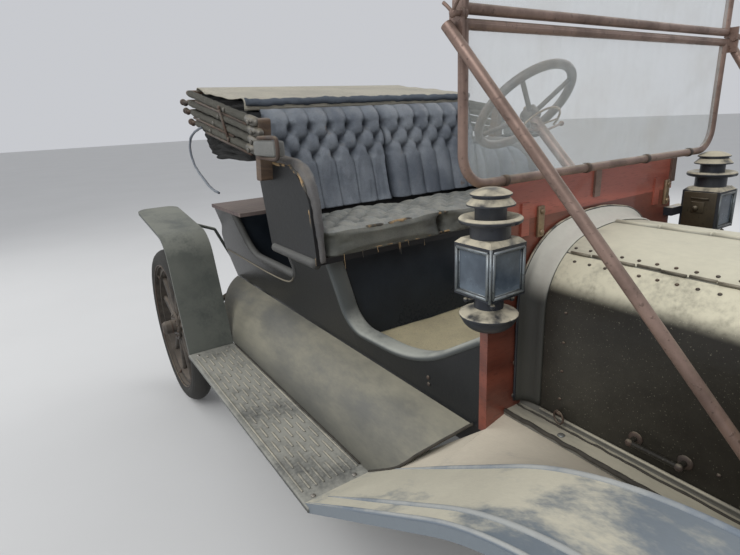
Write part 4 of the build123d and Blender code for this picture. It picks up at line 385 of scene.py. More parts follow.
# %% Dress the CAD pieces
DRESS = {
    body_black: "body_sides",
    seat_black: "seat_shell",
    riser_black_painted_reflection: "body_panels",
    black_sheet: "hood_shroud",
    rear_fender_finish: "rear_fenders",
    board_finish: "running_boards",
    hood_side_finish: "hood_sides",
    fender_finish: "front_fenders",
    fender_apron_finish: "front_fender_aprons",
    apron_finish: "splash_aprons",
    hood_top_finish: "hood_tops",
    ledge_finish: "hood_ledges",
    dash_wood: "dash_board",
    top_board_wood: "dash_top_board",
    box_wood: "box_board",
    bow_wood: "top_bows",
    rim_wood: "steering_wheel",
    lamp_black: "side_lamps",
    core_brass: "radiator_core",
    tube_brass: "windshield_lower_frame windshield_upper_frame windshield_stays steering_column",
    lamp_brass: "headlamps tail_lamp radiator_shell",
    old_iron: "starting_crank foot_controls muffler engine_block",
    window_glass: "windshield_lower_glass windshield_upper_glass",
    bright_steel: "pitman_arm",
    chassis_finish: "chassis_frame leaf_springs front_axle rear_axle knuckle_right knuckle_left tie_rod",
    wheel_wood: "wheel_front_right wheel_front_left wheel_rear_right wheel_rear_left",
    rubber: "tyre_front_right tyre_front_left tyre_rear_right tyre_rear_left",
}


def wear(obj, finish):
    """Give a piece one finish all over."""
    obj.data.materials.clear()
    obj.data.materials.append(finish)


for finish, names in DRESS.items():
    for name in names.split():
        wear(nodes[name], finish)
print("dressed", sum(len(names.split()) for names in DRESS.values()), "of", len(nodes))

# %% [markdown]
# ## Making a piece
#
# Every new piece goes through one function. It turns a bmesh into an object, gives it a finish, tells the
# frame which CAD body it rides on, and prints how many faces it has. The object stays at the origin and its
# place is in its mesh, so patterns on Object coordinates hold still.

# %% Helpers for new pieces
def piece(name, bm, finish, body="chassis", smooth=True):
    """An object from a bmesh, dressed and riding on a body."""
    mesh = bpy.data.meshes.new(name)
    bm.to_mesh(mesh)
    bm.free()
    obj = bpy.data.objects.new(name, mesh)
    bpy.context.scene.collection.objects.link(obj)
    wear(obj, finish)
    mesh.polygons.foreach_set("use_smooth", [smooth] * len(mesh.polygons))
    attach(obj, body)
    print(f"{name}: {len(mesh.polygons)} faces")
    return obj


def crate(low, high, cells):
    """A closed box between two corners, cut into a grid of cells along each axis."""
    bm = bmesh.new()
    bmesh.ops.create_cube(bm, size=1.0)
    bmesh.ops.scale(bm, vec=Vector(high) - Vector(low), verts=bm.verts)
    bmesh.ops.translate(bm, vec=(Vector(high) + Vector(low)) / 2, verts=bm.verts)
    for axis, count in enumerate(cells):
        ways = [(edge, (edge.verts[1].co - edge.verts[0].co).normalized()) for edge in bm.edges]
        along = [edge for edge, way in ways if abs(way[axis]) > 0.99]
        bmesh.ops.subdivide_edges(bm, edges=along, cuts=count - 1, use_grid_fill=True)
    return bm


def clamp(value, low=0.0, high=1.0):
    """The value, kept between two limits."""
    return max(low, min(high, value))


def mirror_y(bm):
    """Turn a bmesh over to the car's other side, with its faces still outwards."""
    bmesh.ops.scale(bm, vec=(1, -1, 1), verts=bm.verts)
    bmesh.ops.reverse_faces(bm, faces=bm.faces)
    return bm


def merged(parts):
    """Several bmeshes as one."""
    whole = bmesh.new()
    for bm in parts:
        mesh = bpy.data.meshes.new("part")
        bm.to_mesh(mesh)
        bm.free()
        whole.from_mesh(mesh)
        bpy.data.meshes.remove(mesh)
    return whole


def pair(name, make, finish, smooth=True):
    """One piece for both sides of the car: what a function makes for the left, and the same turned over."""
    return piece(name, merged([make(), mirror_y(make())]), finish, smooth=smooth)


def drift(x, y, z):
    """Smooth noise at a place, between about -1 and 1."""
    return noise.noise(Vector((x, y, z)))


def shares(place, low, high):
    """How far a place lies from one corner to the other along each axis, from 0 to 1."""
    return [(at - start) / (end - start) for at, start, end in zip(place, low, high)]


print("helpers for pieces made")

# %% [markdown]
# ## Leather
#
# The upholstery is black leather gone slate grey. Broad patches are lighter where backs have rubbed, the
# folds hold brown dust, and the skin is crazed all over. The crazing is the distance to the edges of small
# cells. It is used as height, which shows only where light grazes it, and it also darkens the crack lines.

# %% Leather finishes
SCUFF = (0.16, 0.10, 0.065)


def old_leather(name, dark, pale, dust, dusty=0.5, worn=SCUFF):
    """Crazed leather with rubbed patches and dust in what faces up."""
    finish = Finish(name)
    patches = finish.between(finish.clouds(6.5, 6.0, 0.6), 0.3, 0.7)
    crazing = finish.between(finish.grains(210.0, "DISTANCE_TO_EDGE"), 0.0, 0.12)
    wrinkles = finish.clouds(34.0, 5.0, 0.65)
    scuffs = finish.between(finish.clouds(13.0, 6.0, 0.72), 0.62, 0.72) * 0.7
    lying = finish.upward(0.3, 1.0) * finish.between(wrinkles, 0.3, 0.7) * dusty
    colour = finish.mix(scuffs, finish.mix(patches, dark, pale), worn)
    # The crack lines are also drawn darker in colour, up to 30 per cent of the way towards near black.
    colour = finish.mix(lying, finish.mix((1 - crazing) * 0.3, colour, (0.02, 0.02, 0.02)), dust)
    return finish.paint(colour, patches * 0.12 + lying * 0.25 + 0.42, crazing * 0.25 + wrinkles, 0.0025)


back_leather = old_leather(
    "slate leather", (0.110, 0.130, 0.160), (0.235, 0.262, 0.293), (0.33, 0.315, 0.27), 0.25,
)
seat_leather = old_leather("dusty leather", (0.165, 0.175, 0.170), (0.29, 0.30, 0.28), (0.40, 0.38, 0.31))
band_leather = old_leather(
    "boxing leather", (0.075, 0.080, 0.070), (0.165, 0.170, 0.145), (0.28, 0.25, 0.18), 0.4,
)
edge_leather = old_leather(
    "edge leather", (0.075, 0.075, 0.078), (0.17, 0.16, 0.15), (0.25, 0.21, 0.15), worn=(0.33, 0.22, 0.11),
)


def frayed_cord():
    """The welt's bare cotton core, where the leather over it has gone."""
    finish = Finish("frayed welt")
    bare = finish.between(finish.clouds(17.0, 5.0, 0.6), 0.42, 0.56)
    fibres = finish.clouds(400.0, 3.0)
    colour = finish.mix(bare, (0.075, 0.07, 0.06), finish.mix(fibres, (0.22, 0.13, 0.06), (0.50, 0.36, 0.19)))
    return finish.paint(colour, 0.9, fibres, 0.001)


welt_finish = frayed_cord()
print("leather made")

# %% [markdown]
# ## Tufted backs and cushions
#
# A tufted back is a bag of horsehair tied through by buttons. Between the buttons the leather swells, and
# from button to button it folds into pleats. Here the buttons lie on a lattice: above the last row the
# pleats run aslant and enclose diamonds, and from that row down they run straight to the seat. The shape
# comes in two steps. First the pleats and buttons are pressed into a finely cut box by a formula, then
# cloth simulation blows the leather up a little between them, which gives the tight swell that a formula
# lacks.

# %% Measures of the upholstery
CUSHION_LOW, CUSHION_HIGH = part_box("seat_cushions")
BACK_TOP_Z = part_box("seat_back_pads")[1].z
SHELL_LOW, SHELL_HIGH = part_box("seat_shell")
SEAM = 0.004                   # half the gap between the two halves of the seat
PAD_FOOT = CUSHION_HIGH.z + 0.004
SHELL_LEAN = 0.100 / 0.473     # the back's lean for each metre of height
SHELL_FOOT_X = -0.305          # its front face at the seat board
SEAT_BOARD_Z = SHELL_LOW.z
print("cushion box:", [round(value, 3) for value in (*CUSHION_LOW, *CUSHION_HIGH)])


def back_face(z):
    """X of the seat panel's front face at a height."""
    return SHELL_FOOT_X - SHELL_LEAN * (z - SEAT_BOARD_Z)


# %% Tufting by formula
BACK_ROWS = (0.80, 0.66, 0.52)  # button rows as shares of the back's height
CUSHION_COLUMNS = 5
CUSHION_ROWS = 3
CUSHION_BUTTONS = [
    (column / 2, row / 2) for column in range(1, 2 * CUSHION_COLUMNS) for row in range(1, 2 * CUSHION_ROWS)
    if (column + row) % 2 == 0
]


def crease(value, sharp=0.55):
    """0 on whole numbers and 1 halfway between them, with a sharp valley and a round hill."""
    return abs(sin(pi * value)) ** sharp


def back_swell(across, height):
    """How far the leather swells, from 0 in a pleat to 1, and how close a button is, from 0 to 1."""
    top, _, last = BACK_ROWS
    row = (top - height) / ((top - last) / (len(BACK_ROWS) - 1))
    straight = clamp((row - len(BACK_ROWS) + 1) * 2.5)
    above = clamp(-row * 2.5)
    aslant = crease(across + row / 2) * crease(across - row / 2)
    swell = aslant * (1 - straight) * (1 - above) + crease(across) * max(straight, above)
    places = [(across - (index % 2) / 2, height - share) for index, share in enumerate(BACK_ROWS)]
    nearest = min(hypot(column - round(column), above_row * 4.2) for column, above_row in places)
    return swell, clamp(1 - nearest / 0.30)


def seat_swell(across, along):
    """The cushion's shallow tufts: soft hills between buttons, with short pleats."""
    nearest = min(hypot(across - x, along - y) for x, y in CUSHION_BUTTONS)
    return crease(across + along, 0.8) * crease(across - along, 0.8), clamp(1 - nearest / 0.28)


print("buttons on a cushion:", len(CUSHION_BUTTONS))


# %% Blowing up by cloth
CLOTH_STEPS = 16
CLOTH_STIFF = 12.0


def held_group(obj, held):
    """A vertex group of the points that the cloth keeps in place, each with its weight."""
    group = obj.vertex_groups.new(name="held")
    for index, weight in held.items():
        group.add([index], weight, "REPLACE")
    return group


def plump(obj, held, pressure, cap):
    """Swell a pad with Blender's cloth, hold the listed points, and cap how far any point may move."""
    group = held_group(obj, held)
    cloth = obj.modifiers.new("Cloth", "CLOTH")
    settings = cloth.settings
    settings.quality = 5
    settings.use_pressure = True
    settings.uniform_pressure_force = pressure
    settings.vertex_group_mass = group.name
    settings.tension_stiffness = settings.compression_stiffness = CLOTH_STIFF
    settings.shear_stiffness = CLOTH_STIFF / 2
    settings.bending_stiffness = 0.4
    settings.effector_weights.gravity = 0.0
    cloth.collision_settings.use_collision = False
    scene = bpy.context.scene
    scene.frame_start = cloth.point_cache.frame_start = 1
    scene.frame_end = cloth.point_cache.frame_end = CLOTH_STEPS
    for step in range(1, CLOTH_STEPS + 1):
        scene.frame_set(step)
    swollen = obj.evaluated_get(bpy.context.evaluated_depsgraph_get())
    moves = [end.co - start.co for start, end in zip(obj.data.vertices, swollen.data.vertices)]
    obj.modifiers.remove(cloth)
    obj.vertex_groups.remove(group)
    scene.frame_set(1)
    for vert, move in zip(obj.data.vertices, moves):
        vert.co += move * min(1.0, cap / move.length) if move.length else move
    furthest = max(move.length for move in moves)
    print(f"{obj.name}: the cloth moved up to {furthest * 1000:.1f} mm, capped at {cap * 1000:.0f}")


# %% [markdown]
# ## The two backs
#
# Each back is six flutes wide with three rows of buttons. The box is cut finely, its front pressed into
# pleats, its rims rounded, and last it is sheared to lean against the seat's panel. The far back is the
# near one turned over, with other noise, so that the two aren't twins.

# %% Backs
BACK_CELLS = (9, 108, 76)
BACK_COLUMNS = 6
BACK_DEPTH = 0.068
BUTTON_DEPTH = 0.030
PLEAT_DEPTH = 0.021
RIM_ROUND = 0.030              # how far in from its ends a back is rounded
RIM_DEPTH = 0.022
CROWN_DEPTH = 0.034
BACK_ROUGH = 0.004             # how uneven the stuffing is


def soft_pad(name, bm, side, finish, node):
    """A padded piece for one side, in the place of a plain CAD solid."""
    if side < 0:
        mirror_y(bm)
    bmesh.ops.recalc_face_normals(bm, faces=bm.faces)
    pad = piece(name, bm, finish)
    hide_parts(node)
    return pad


def tufted_back(name, side):
    """One back pad."""
    low = Vector((0.0, SEAM, PAD_FOOT))
    high = Vector((BACK_DEPTH, CUSHION_HIGH.y, BACK_TOP_Z))
    bm = crate(low, high, BACK_CELLS)
    bm.verts.index_update()
    held = {}
    for vert in bm.verts:
        depth, wide, tall = shares(vert.co, low, high)
        swell, button = back_swell(wide * BACK_COLUMNS, tall)
        pleat = PLEAT_DEPTH * (1 - swell) * (1 - 0.35 * clamp((0.12 - tall) * 8))
        rim = RIM_DEPTH * clamp(1 - min(wide, 1 - wide) * (high.y - low.y) / RIM_ROUND) ** 2
        crown = CROWN_DEPTH * clamp(1 - (high.z - vert.co.z) / (1.6 * RIM_ROUND)) ** 2
        uneven = BACK_ROUGH * drift(vert.co.y * 9, vert.co.z * 9, 3.0 * side)
        vert.co.x -= depth * (pleat + BUTTON_DEPTH * button**1.5 + rim + crown - uneven)
        vert.co.z -= 0.008 * (1 - swell) * depth * clamp((tall - 0.9) * 10)
        if depth < 0.05:
            held[vert.index] = 1.0
        elif button > 0.35:
            held[vert.index] = clamp(button * 1.3)
        elif swell < 0.28 and depth > 0.95:
            held[vert.index] = 0.35
        vert.co.x += back_face(vert.co.z) + 0.0005
    pad = soft_pad(name, bm, side, back_leather, "seat_back_pads")
    plump(pad, held, 3.5, 0.009)


tufted_back("back_pad_right", -1)
tufted_back("back_pad_left", 1)

# %% [markdown]
# ## The two cushions
#
# The cushions are flatter: five soft hills across and three deep, and a plain boxing band round the sides.
# The seam between top and band is a welt whose leather has worn away in front, so it gets its own piece.

# %% Cushions
CUSHION_CELLS = (58, 90, 18)
CUSHION_CROWN = 0.016          # how much lower the welt lies than the middle
TUFT_DEPTH = 0.013
TUFT_BUTTON = 0.024
BAND_PINCH = 0.006
CORNER_PULL = 0.030            # how far from a corner it is drawn in
CORNER_DEPTH = 0.012


def tufted_cushion(name, side):
    """One seat cushion: tufted top, boxing band pulled in a little between top and foot."""
    low = Vector((CUSHION_LOW.x, SEAM, CUSHION_LOW.z))
    high = Vector(CUSHION_HIGH)
    bm = crate(low, high, CUSHION_CELLS)
    bm.verts.index_update()
    held = {}
    for vert in bm.verts:
        along, wide, tall = shares(vert.co, low, high)
        swell, button = seat_swell(wide * CUSHION_COLUMNS, along * CUSHION_ROWS)
        to_front = min(along, 1 - along) * (high.x - low.x)
        to_side = min(wide, 1 - wide) * (high.y - low.y)
        edge = min(to_front, to_side)
        inner = clamp(edge / 0.05)
        uneven = 0.006 * drift(vert.co.x * 7, vert.co.y * 7, side * 5.0)
        pressed = inner * (TUFT_DEPTH * (1 - swell) + TUFT_BUTTON * button**1.4)
        vert.co.z -= tall**3 * (CUSHION_CROWN * (1 - inner) ** 2 + pressed - uneven)
        pinch = BAND_PINCH * sin(pi * clamp(tall / 0.85)) if edge < 1e-4 else 0.0
        corner = CORNER_DEPTH * clamp(1 - hypot(to_front, to_side) / CORNER_PULL)
        vert.co += Vector((0.5 - along, 0.5 - wide, 0.0)) * 2 * (pinch + corner)
        if tall < 0.08 or button > 0.45:
            held[vert.index] = 1.0
    pad = soft_pad(name, bm, side, seat_leather, "seat_cushions")
    pad.data.materials.append(band_leather)
    for face in pad.data.polygons:
        if abs(face.normal.z) < 0.55 and face.center.z < CUSHION_HIGH.z - 0.014:
            face.material_index = 1
    plump(pad, held, 3.0, 0.010)


tufted_cushion("cushion_right", -1)
tufted_cushion("cushion_left", 1)

# %% [markdown]
# ## Rolled arms, welts and loose threads
#
# The arms are padded inside and end in a leather roll that follows their curved front edge. Where roll and
# panel meet, the leather has split and shows tan cotton. A curve with a round bevel is the quickest way to
# a roll or a welt: it takes a few points, and a little noise keeps it from looking machined.

# %% Rolls and cords from curves
noise.seed_set(1)              # else `noise_vector` takes its seed from the clock


def tube(points, radius, smooth=True, wobble=0.0, seed=0.0, sides=3, steps=6):
    """A round bar along a line of points, as a bmesh. Each point may carry its own share of the radius."""
    data = bpy.data.curves.new("line", "CURVE")
    data.dimensions = "3D"
    data.bevel_depth = radius
    data.bevel_resolution = sides
    data.resolution_u = steps
    data.use_fill_caps = True
    spline = data.splines.new("NURBS" if smooth else "POLY")
    spline.points.add(len(points) - 1)
    for target, point in zip(spline.points, points):
        target.co = (*point[:3], 1.0)
        target.radius = point[3] if len(point) > 3 else 1.0
    spline.order_u = 3 if smooth else 2
    spline.use_endpoint_u = True
    line = bpy.data.objects.new("line", data)
    bpy.context.scene.collection.objects.link(line)
    bpy.context.view_layer.update()
    mesh = bpy.data.meshes.new_from_object(line.evaluated_get(bpy.context.evaluated_depsgraph_get()))
    bpy.data.objects.remove(line)
    bpy.data.curves.remove(data)
    bm = bmesh.new()
    bm.from_mesh(mesh)
    bpy.data.meshes.remove(mesh)
    bmesh.ops.remove_doubles(bm, verts=bm.verts, dist=1e-5)
    bmesh.ops.recalc_face_normals(bm, faces=bm.faces)
    for vert in bm.verts:
        vert.co += wobble * noise.noise_vector(vert.co * 40 + Vector((seed, 0, 0)))
    return bm


def rod(start, end, radius, sides=2):
    """A straight round bar."""
    return tube([start, end], radius, smooth=False, sides=sides)


print("tubes and rods can be made")


# %% Arms
SEAT_FRONT_X = SHELL_HIGH.x
ARM_ROLL = 0.019
ARM_SPLIT = 0.0052
ARM_EDGE = (                   # behind the seat's front edge, height, share of the roll's radius
    (0.006, 0.972, 0.62), (0.012, 1.060, 0.70), (0.022, 1.150, 0.85), (0.048, 1.225, 1.0),
    (0.105, 1.268, 1.05), (0.200, 1.276, 1.05), (0.300, 1.279, 1.0), (0.385, 1.281, 0.9),
)


def arm_line(y, inward=0.0, dip=0.0):
    """Points along an arm's edge, moved in and down from it."""
    return [(SEAT_FRONT_X - back - inward, y, height - dip, size) for back, height, size in ARM_EDGE]


pair("arm_rolls", lambda: tube(arm_line(0.507), ARM_ROLL, wobble=0.0035, sides=5, steps=10), edge_leather)
pair("arm_splits", lambda: tube(arm_line(0.5255, 0.004, 0.006), ARM_SPLIT, wobble=0.005, seed=3, steps=14),
     welt_finish)

# %% Arm pads
ARM_INNER_Y = 0.4877
ARM_TOP_Z = 1.268
ARM_CELLS = (52, 5, 46)
ARM_FLUTES = 4
FLUTE_DEPTH = 0.012
ARM_RIM = 0.014


def arm_pad(name, side):
    """The padded inside of one arm, with upright flutes that end under the roll."""
    low = Vector((SHELL_FOOT_X - 0.055, ARM_INNER_Y - 0.004, SEAT_BOARD_Z + 0.020))
    high = Vector((SEAT_FRONT_X - 0.012, ARM_INNER_Y + 0.022, ARM_TOP_Z))
    bm = crate(low, high, ARM_CELLS)
    for vert in bm.verts:
        along, outward, tall = shares(vert.co, low, high)
        edge = min(min(along, 1 - along) * (high.x - low.x), (1 - tall) * (high.z - low.z)) / 0.03
        press = FLUTE_DEPTH * (1 - crease(along * ARM_FLUTES)) + ARM_RIM * (1 - clamp(edge)) ** 2
        vert.co.y += (1 - outward) * (press + 0.003 * noise.noise(vert.co * 14))
        front = SEAT_FRONT_X - 0.012 - 0.022 * tall - 0.085 * clamp((tall - 0.68) / 0.32) ** 2
        rear = back_face(vert.co.z) + 0.0015
        vert.co.x = rear + along * (front - rear)
    soft_pad(name, bm, side, back_leather, "seat_back_pads")


arm_pad("arm_pad_right", -1)
arm_pad("arm_pad_left", 1)

# %% Cushion welts
WELT = 0.0048
FOOT_WELT = 0.0036
WELT_TOP = CUSHION_LOW.z + 0.074
WELT_FOOT = CUSHION_LOW.z + 0.004


def welt_line(z, out):
    """Round a cushion from the middle seam, along its front, and back along the arm."""
    front = CUSHION_HIGH.x + out
    side = CUSHION_HIGH.y + out
    line = [(front - 0.006, SEAM + 0.004, z), (front, 0.06, z + 0.002)]
    line += [(front, 0.06 + step * (side - 0.10) / 6, z + 0.003 * (-1) ** step) for step in range(1, 6)]
    line += [(front - 0.004, side - 0.034, z), (front - 0.010, side - 0.008, z - 0.002)]
    return line + [(front - 0.035, side, z), (CUSHION_LOW.x + 0.05, side - 0.001, z)]


def cushion_welts():
    """The worn welt round the left cushion's top, and the thinner one at its foot."""
    return merged([
        tube(welt_line(WELT_TOP, -0.0075), WELT, wobble=0.005, seed=5, steps=10),
        tube(welt_line(WELT_FOOT, -0.005), FOOT_WELT, wobble=0.0035, seed=8, steps=10),
    ])


pair("cushion_welts", cushion_welts, welt_finish)

# %% Threads
THREAD = 0.0007
THREADS = (                    # Y, length
    (0.10, 0.030), (0.17, 0.020), (0.205, 0.042), (0.21, 0.034), (0.30, 0.018), (0.36, 0.026), (0.43, 0.05),
)


def hanging_threads():
    """Short ends of cotton that hang from the left cushion's front edge."""
    x, _, _ = CUSHION_HIGH
    parts = []
    for y, length in THREADS:
        middle, tip = WELT_FOOT - length / 2, WELT_FOOT - length
        line = [(x, y, WELT_FOOT), (x + 0.006, y + 0.003, middle), (x + 0.004, y, tip)]
        parts.append(tube(line, THREAD, sides=1, steps=4))
    return merged(parts)


piece("threads", mirror_y(hanging_threads()), welt_finish)

# %% [markdown]
# ## The folded top
#
# Folded down, the top is a flat packet. Its cloth lies over four wooden bows in one broad sheet with a
# rolled hem in front, and the rest hangs under it in dark folds. The bows' side bars are wrapped in khaki
# strips and end in oval sockets. A sheet is made as a thin box whose length is bent along a side view: the
# same steps give the folds.

# %% Cloth finishes
def woven(name, pale, deep, threads=260.0, stained=0.6):
    """Plain-woven cloth: crossed threads as height, and stains in broad patches."""
    finish = Finish(name, rough=0.92)
    warp, weft = (
        finish.node("ShaderNodeTexWave", {"bands_direction": way}, take=1, Vector=finish.place, Scale=threads,
                    Distortion=0.8, Detail=1.0)
        for way in "XY"
    )
    stains = finish.between(finish.clouds(3.5, 7.0, 0.66), 0.36, 0.68)
    specks = finish.between(finish.clouds(110.0, 2.0), 0.60, 0.70)
    colour = finish.mix(specks * 0.35, finish.mix(stains * stained, pale, deep), dimmed(deep, 0.5))
    shade = finish.mix((warp + weft) * 0.16, colour, dimmed(deep, 0.4))
    return finish.paint(shade, height=warp + weft, depth=0.0006)


cover_cloth = woven("cover cloth", (0.66, 0.615, 0.50), (0.46, 0.435, 0.365))
hem_cloth = woven("hem cloth", (0.13, 0.155, 0.19), (0.075, 0.09, 0.11))
lining_cloth = woven("lining cloth", (0.032, 0.032, 0.030), (0.016, 0.016, 0.016), stained=0.9)
wrap_cloth = woven("wrapping cloth", (0.105, 0.100, 0.078), (0.048, 0.046, 0.038), 180.0)
pad_cloth = woven("rest pad", (0.27, 0.27, 0.25), (0.16, 0.165, 0.16))
print("cloth made")


# %% Helpers for sheets and fittings
def place_on(line, share, reach=0.0):
    """The (x, z) point at a share of a line's length, with its corners rounded by averaging over a reach."""
    lengths = [hypot(b[0] - a[0], b[1] - a[1]) for a, b in zip(line, line[1:])]
    total = sum(lengths)
    point = Vector((0.0, 0.0))
    for nudge in (-1.0, -0.5, 0.0, 0.5, 1.0):
        left = clamp(share * total + nudge * reach, 0.0, total)
        for start, end, length in zip(line, line[1:], lengths):
            if left <= length or end is line[-1]:
                point += Vector(start).lerp(Vector(end), left / length) / 5
                break
            left -= length
    return point


def rounded_block(low, high, radius=0.0015, segments=2):
    """A box with its edges rounded."""
    bm = crate(low, high, (1, 1, 1))
    bmesh.ops.bevel(bm, geom=bm.edges, offset=radius, offset_type="OFFSET", affect="EDGES", segments=segments,
                    profile=0.5, material=-1)
    return bm


def placed(bm, where):
    """A bmesh moved to a place."""
    bmesh.ops.translate(bm, vec=Vector(where), verts=bm.verts)
    return bm


def studs(places, size):
    """A flattened dome at each place, as a rivet's or bolt's head. Size: its half width on each axis."""
    whole = []
    for place in places:
        bm = bmesh.new()
        bmesh.ops.create_icosphere(bm, subdivisions=2, radius=1.0)
        bmesh.ops.scale(bm, vec=Vector(size), verts=bm.verts)
        whole.append(placed(bm, place))
    return merged(whole)


print("helpers for sheets and fittings made")


# %% The cover and its hem
TOP_HALF = 0.540
COVER_CELLS = (72, 64, 1)
COVER_LINE = (                 # x and z from the front edge over the top and down at the rear
    (-0.421, 1.446), (-0.414, 1.478), (-0.424, 1.487), (-0.60, 1.515), (-0.80, 1.540), (-0.958, 1.561),
    (-0.971, 1.552), (-0.972, 1.478),
)
COVER_BEND = 0.006             # reach over which its corners are rounded
COVER_THICK = 0.003
COVER_DROP = 0.014
COVER_SAG = 0.003
BOW_SPANS = 5
HEM = 0.0125
HEM_HALF = 0.536
HEM_X = -0.4145
HEM_Z = 1.474
HEM_TIED = 0.003
HEM_STEPS = 20


def cover_sheet():
    """The broad sheet over the bows, sagging a little between them."""
    bm = crate((0, -TOP_HALF, 0), (1, TOP_HALF, COVER_THICK), COVER_CELLS)
    for vert in bm.verts:
        share, y, lift = vert.co
        before, point, after = (
            place_on(COVER_LINE, clamp(share + step), COVER_BEND) for step in (-0.01, 0.0, 0.01)
        )
        out = Vector((before.y - after.y, after.x - before.x)).normalized()
        flat = clamp(min(share - 0.10, 0.84 - share) * 8)
        hang = clamp((abs(y) / TOP_HALF - 0.965) / 0.035) ** 2 * COVER_DROP
        ripple = 0.0022 * drift(share * 5, y * 3, 0) + 0.0014 * drift(share * 14, y * 16, 2)
        sag = COVER_SAG * sin(pi * share * BOW_SPANS) ** 2
        point += out * (lift - COVER_THICK) + Vector((0, flat * (ripple - sag - hang)))
        vert.co = Vector((point.x, y, point.y))
    bmesh.ops.recalc_face_normals(bm, faces=bm.faces)
    return bm


def hem():
    """The rolled front edge of the cover, drawn up a little where it is tied."""
    line = []
    for step in range(-HEM_STEPS, HEM_STEPS + 1):
        tied = HEM_TIED * (-1) ** step * (abs(step) % 3) / 3
        line.append((HEM_X, step / HEM_STEPS * HEM_HALF, HEM_Z + tied))
    return tube(line, HEM, wobble=0.004, seed=2, sides=4, steps=3)


top_hem = piece("top_hem", hem(), hem_cloth)
top_sheet = piece("top_sheet", cover_sheet(), cover_cloth)

# %% The folds under the cover
BUNDLE_HALF = 0.532
BUNDLE_CELLS = (54, 56, 30)
BUNDLE_FOOT = (                # x and z round the underside, from the rear to the front
    (-0.985, 1.480), (-1.000, 1.400), (-0.930, 1.300), (-0.840, 1.262), (-0.470, 1.268), (-0.432, 1.300),
    (-0.426, 1.430),
)
BUNDLE_FRONT = (-0.43, 1.474)  # x and z of its upper front edge
BUNDLE_SLOPE = 0.142
FOLD_DEPTH = 0.020
FOLDS = 42                     # folds for each metre of height


def folded_bundle():
    """Cloth folded to and fro under the cover: level layers that show at the ends and the front."""
    bm = crate((0, -BUNDLE_HALF, 0), (1, BUNDLE_HALF, 1), BUNDLE_CELLS)
    front_x, front_z = BUNDLE_FRONT
    for vert in bm.verts:
        share, y, tall = vert.co
        foot = place_on(BUNDLE_FOOT, share, 0.02)
        top = front_z + (front_x - foot.x) * BUNDLE_SLOPE
        z = foot.y + tall * (top - foot.y)
        drawn = FOLD_DEPTH * (1 - crease(z * FOLDS + 0.25 * drift(foot.x * 5, y * 4, 1), 0.7))
        edge = clamp((abs(y) - 0.49) / 0.042) * (1 if y > 0 else -1)
        y -= edge * (drawn + 0.012 * drift(foot.x * 6, z * 6, 4) + 0.006)
        x = foot.x - clamp((share - 0.80) * 5) * drawn + 0.006 * drift(foot.x * 5, y * 7, z * 5)
        belly = (1 - tall) * 0.010 * drift(foot.x * 6, y * 6, 9)
        vert.co = Vector((x, y, z + belly))
    bmesh.ops.recalc_face_normals(bm, faces=bm.faces)
    return bm


top_bundle = piece("top_bundle", folded_bundle(), lining_cloth)
for part in (top_sheet, top_bundle):
    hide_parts("top_cover")

# %% Wrapped bars, sockets and irons
BAR_Y = 0.572
BARS = (                       # front x and z, rear x and z
    (-0.236, 1.405, -0.980, 1.543), (-0.218, 1.371, -0.996, 1.506),
    (-0.226, 1.342, -0.972, 1.466), (-0.262, 1.316, -0.920, 1.418),
)
WRAP = 0.0135
WRAP_TURNS = 30
SOCKET = 0.0165
SOCKET_REACH = 0.100           # share of a bar that its socket covers
SOCKET_SHAPE = ((-0.12, 0.5), (0, 0.95), (0.3, 1), (0.9, 1), (1, 0.86))     # shares of reach and radius
IRONS = ((0, 0.10, 0.86), (2, 0.30, 0.95), (3, 0.05, 0.80))     # bar, start and end as shares of it
IRON = 0.0048


def along_bar(bar, share, out=0.0, up=0.0):
    """A point on a bow's side bar."""
    front_x, front_z, rear_x, rear_z = bar
    return (front_x + (rear_x - front_x) * share, BAR_Y + out, front_z + (rear_z - front_z) * share + up)


def wraps():
    """Khaki strips round each bar, bunched where the strips overlap."""
    parts = []
    for index, bar in enumerate(BARS):
        places = [(*along_bar(bar, 0.07 + turn * 0.031), 1.10 if turn % 3 == 0 else 1.0)
                  for turn in range(WRAP_TURNS)]
        parts.append(tube(places, WRAP, wobble=0.0022, seed=index, sides=4, steps=2))
    return merged(parts)


def sockets():
    """Oval metal ends that the bars stand in, with an eye at the tip of each."""
    parts = []
    for index, bar in enumerate(BARS):
        places = [(*along_bar(bar, share * SOCKET_REACH), size) for share, size in SOCKET_SHAPE]
        heads = [along_bar(bar, 0.02, 0.025), along_bar(bar, 0.36 + 0.1 * index, 0.015)]
        parts.append(tube(places, SOCKET, sides=5, steps=4))
        parts.append(rod(along_bar(bar, 0.02, -0.016), along_bar(bar, 0.02, 0.024), 0.006, sides=3))
        parts.append(studs(heads, (0.009, 0.005, 0.009)))
    return merged(parts)


def side_irons():
    """Thin flat irons beside the bars, and the link that ties them."""
    parts = []
    for index, start, end in IRONS:
        rear, front = along_bar(BARS[index], start, 0.006, -0.018), along_bar(BARS[index], end, 0.004, -0.020)
        parts.append(rod(rear, front, IRON, sides=3))
    top, foot = along_bar(BARS[0], 0.42, 0.017), along_bar(BARS[3], 0.34, 0.017)
    parts.append(rod(top, foot, 0.005, sides=3))
    parts.append(studs([top, foot], (0.010, 0.006, 0.010)))
    return merged(parts)


socket_metal = tarnished("socket metal", (0.17, 0.16, 0.14), (0.080, 0.076, 0.066), 0.42, 0.75, dust=0.4)
pair("bar_wraps", wraps, wrap_cloth)
pair("bar_sockets", sockets, socket_metal)
pair("bar_irons", side_irons, old_iron)

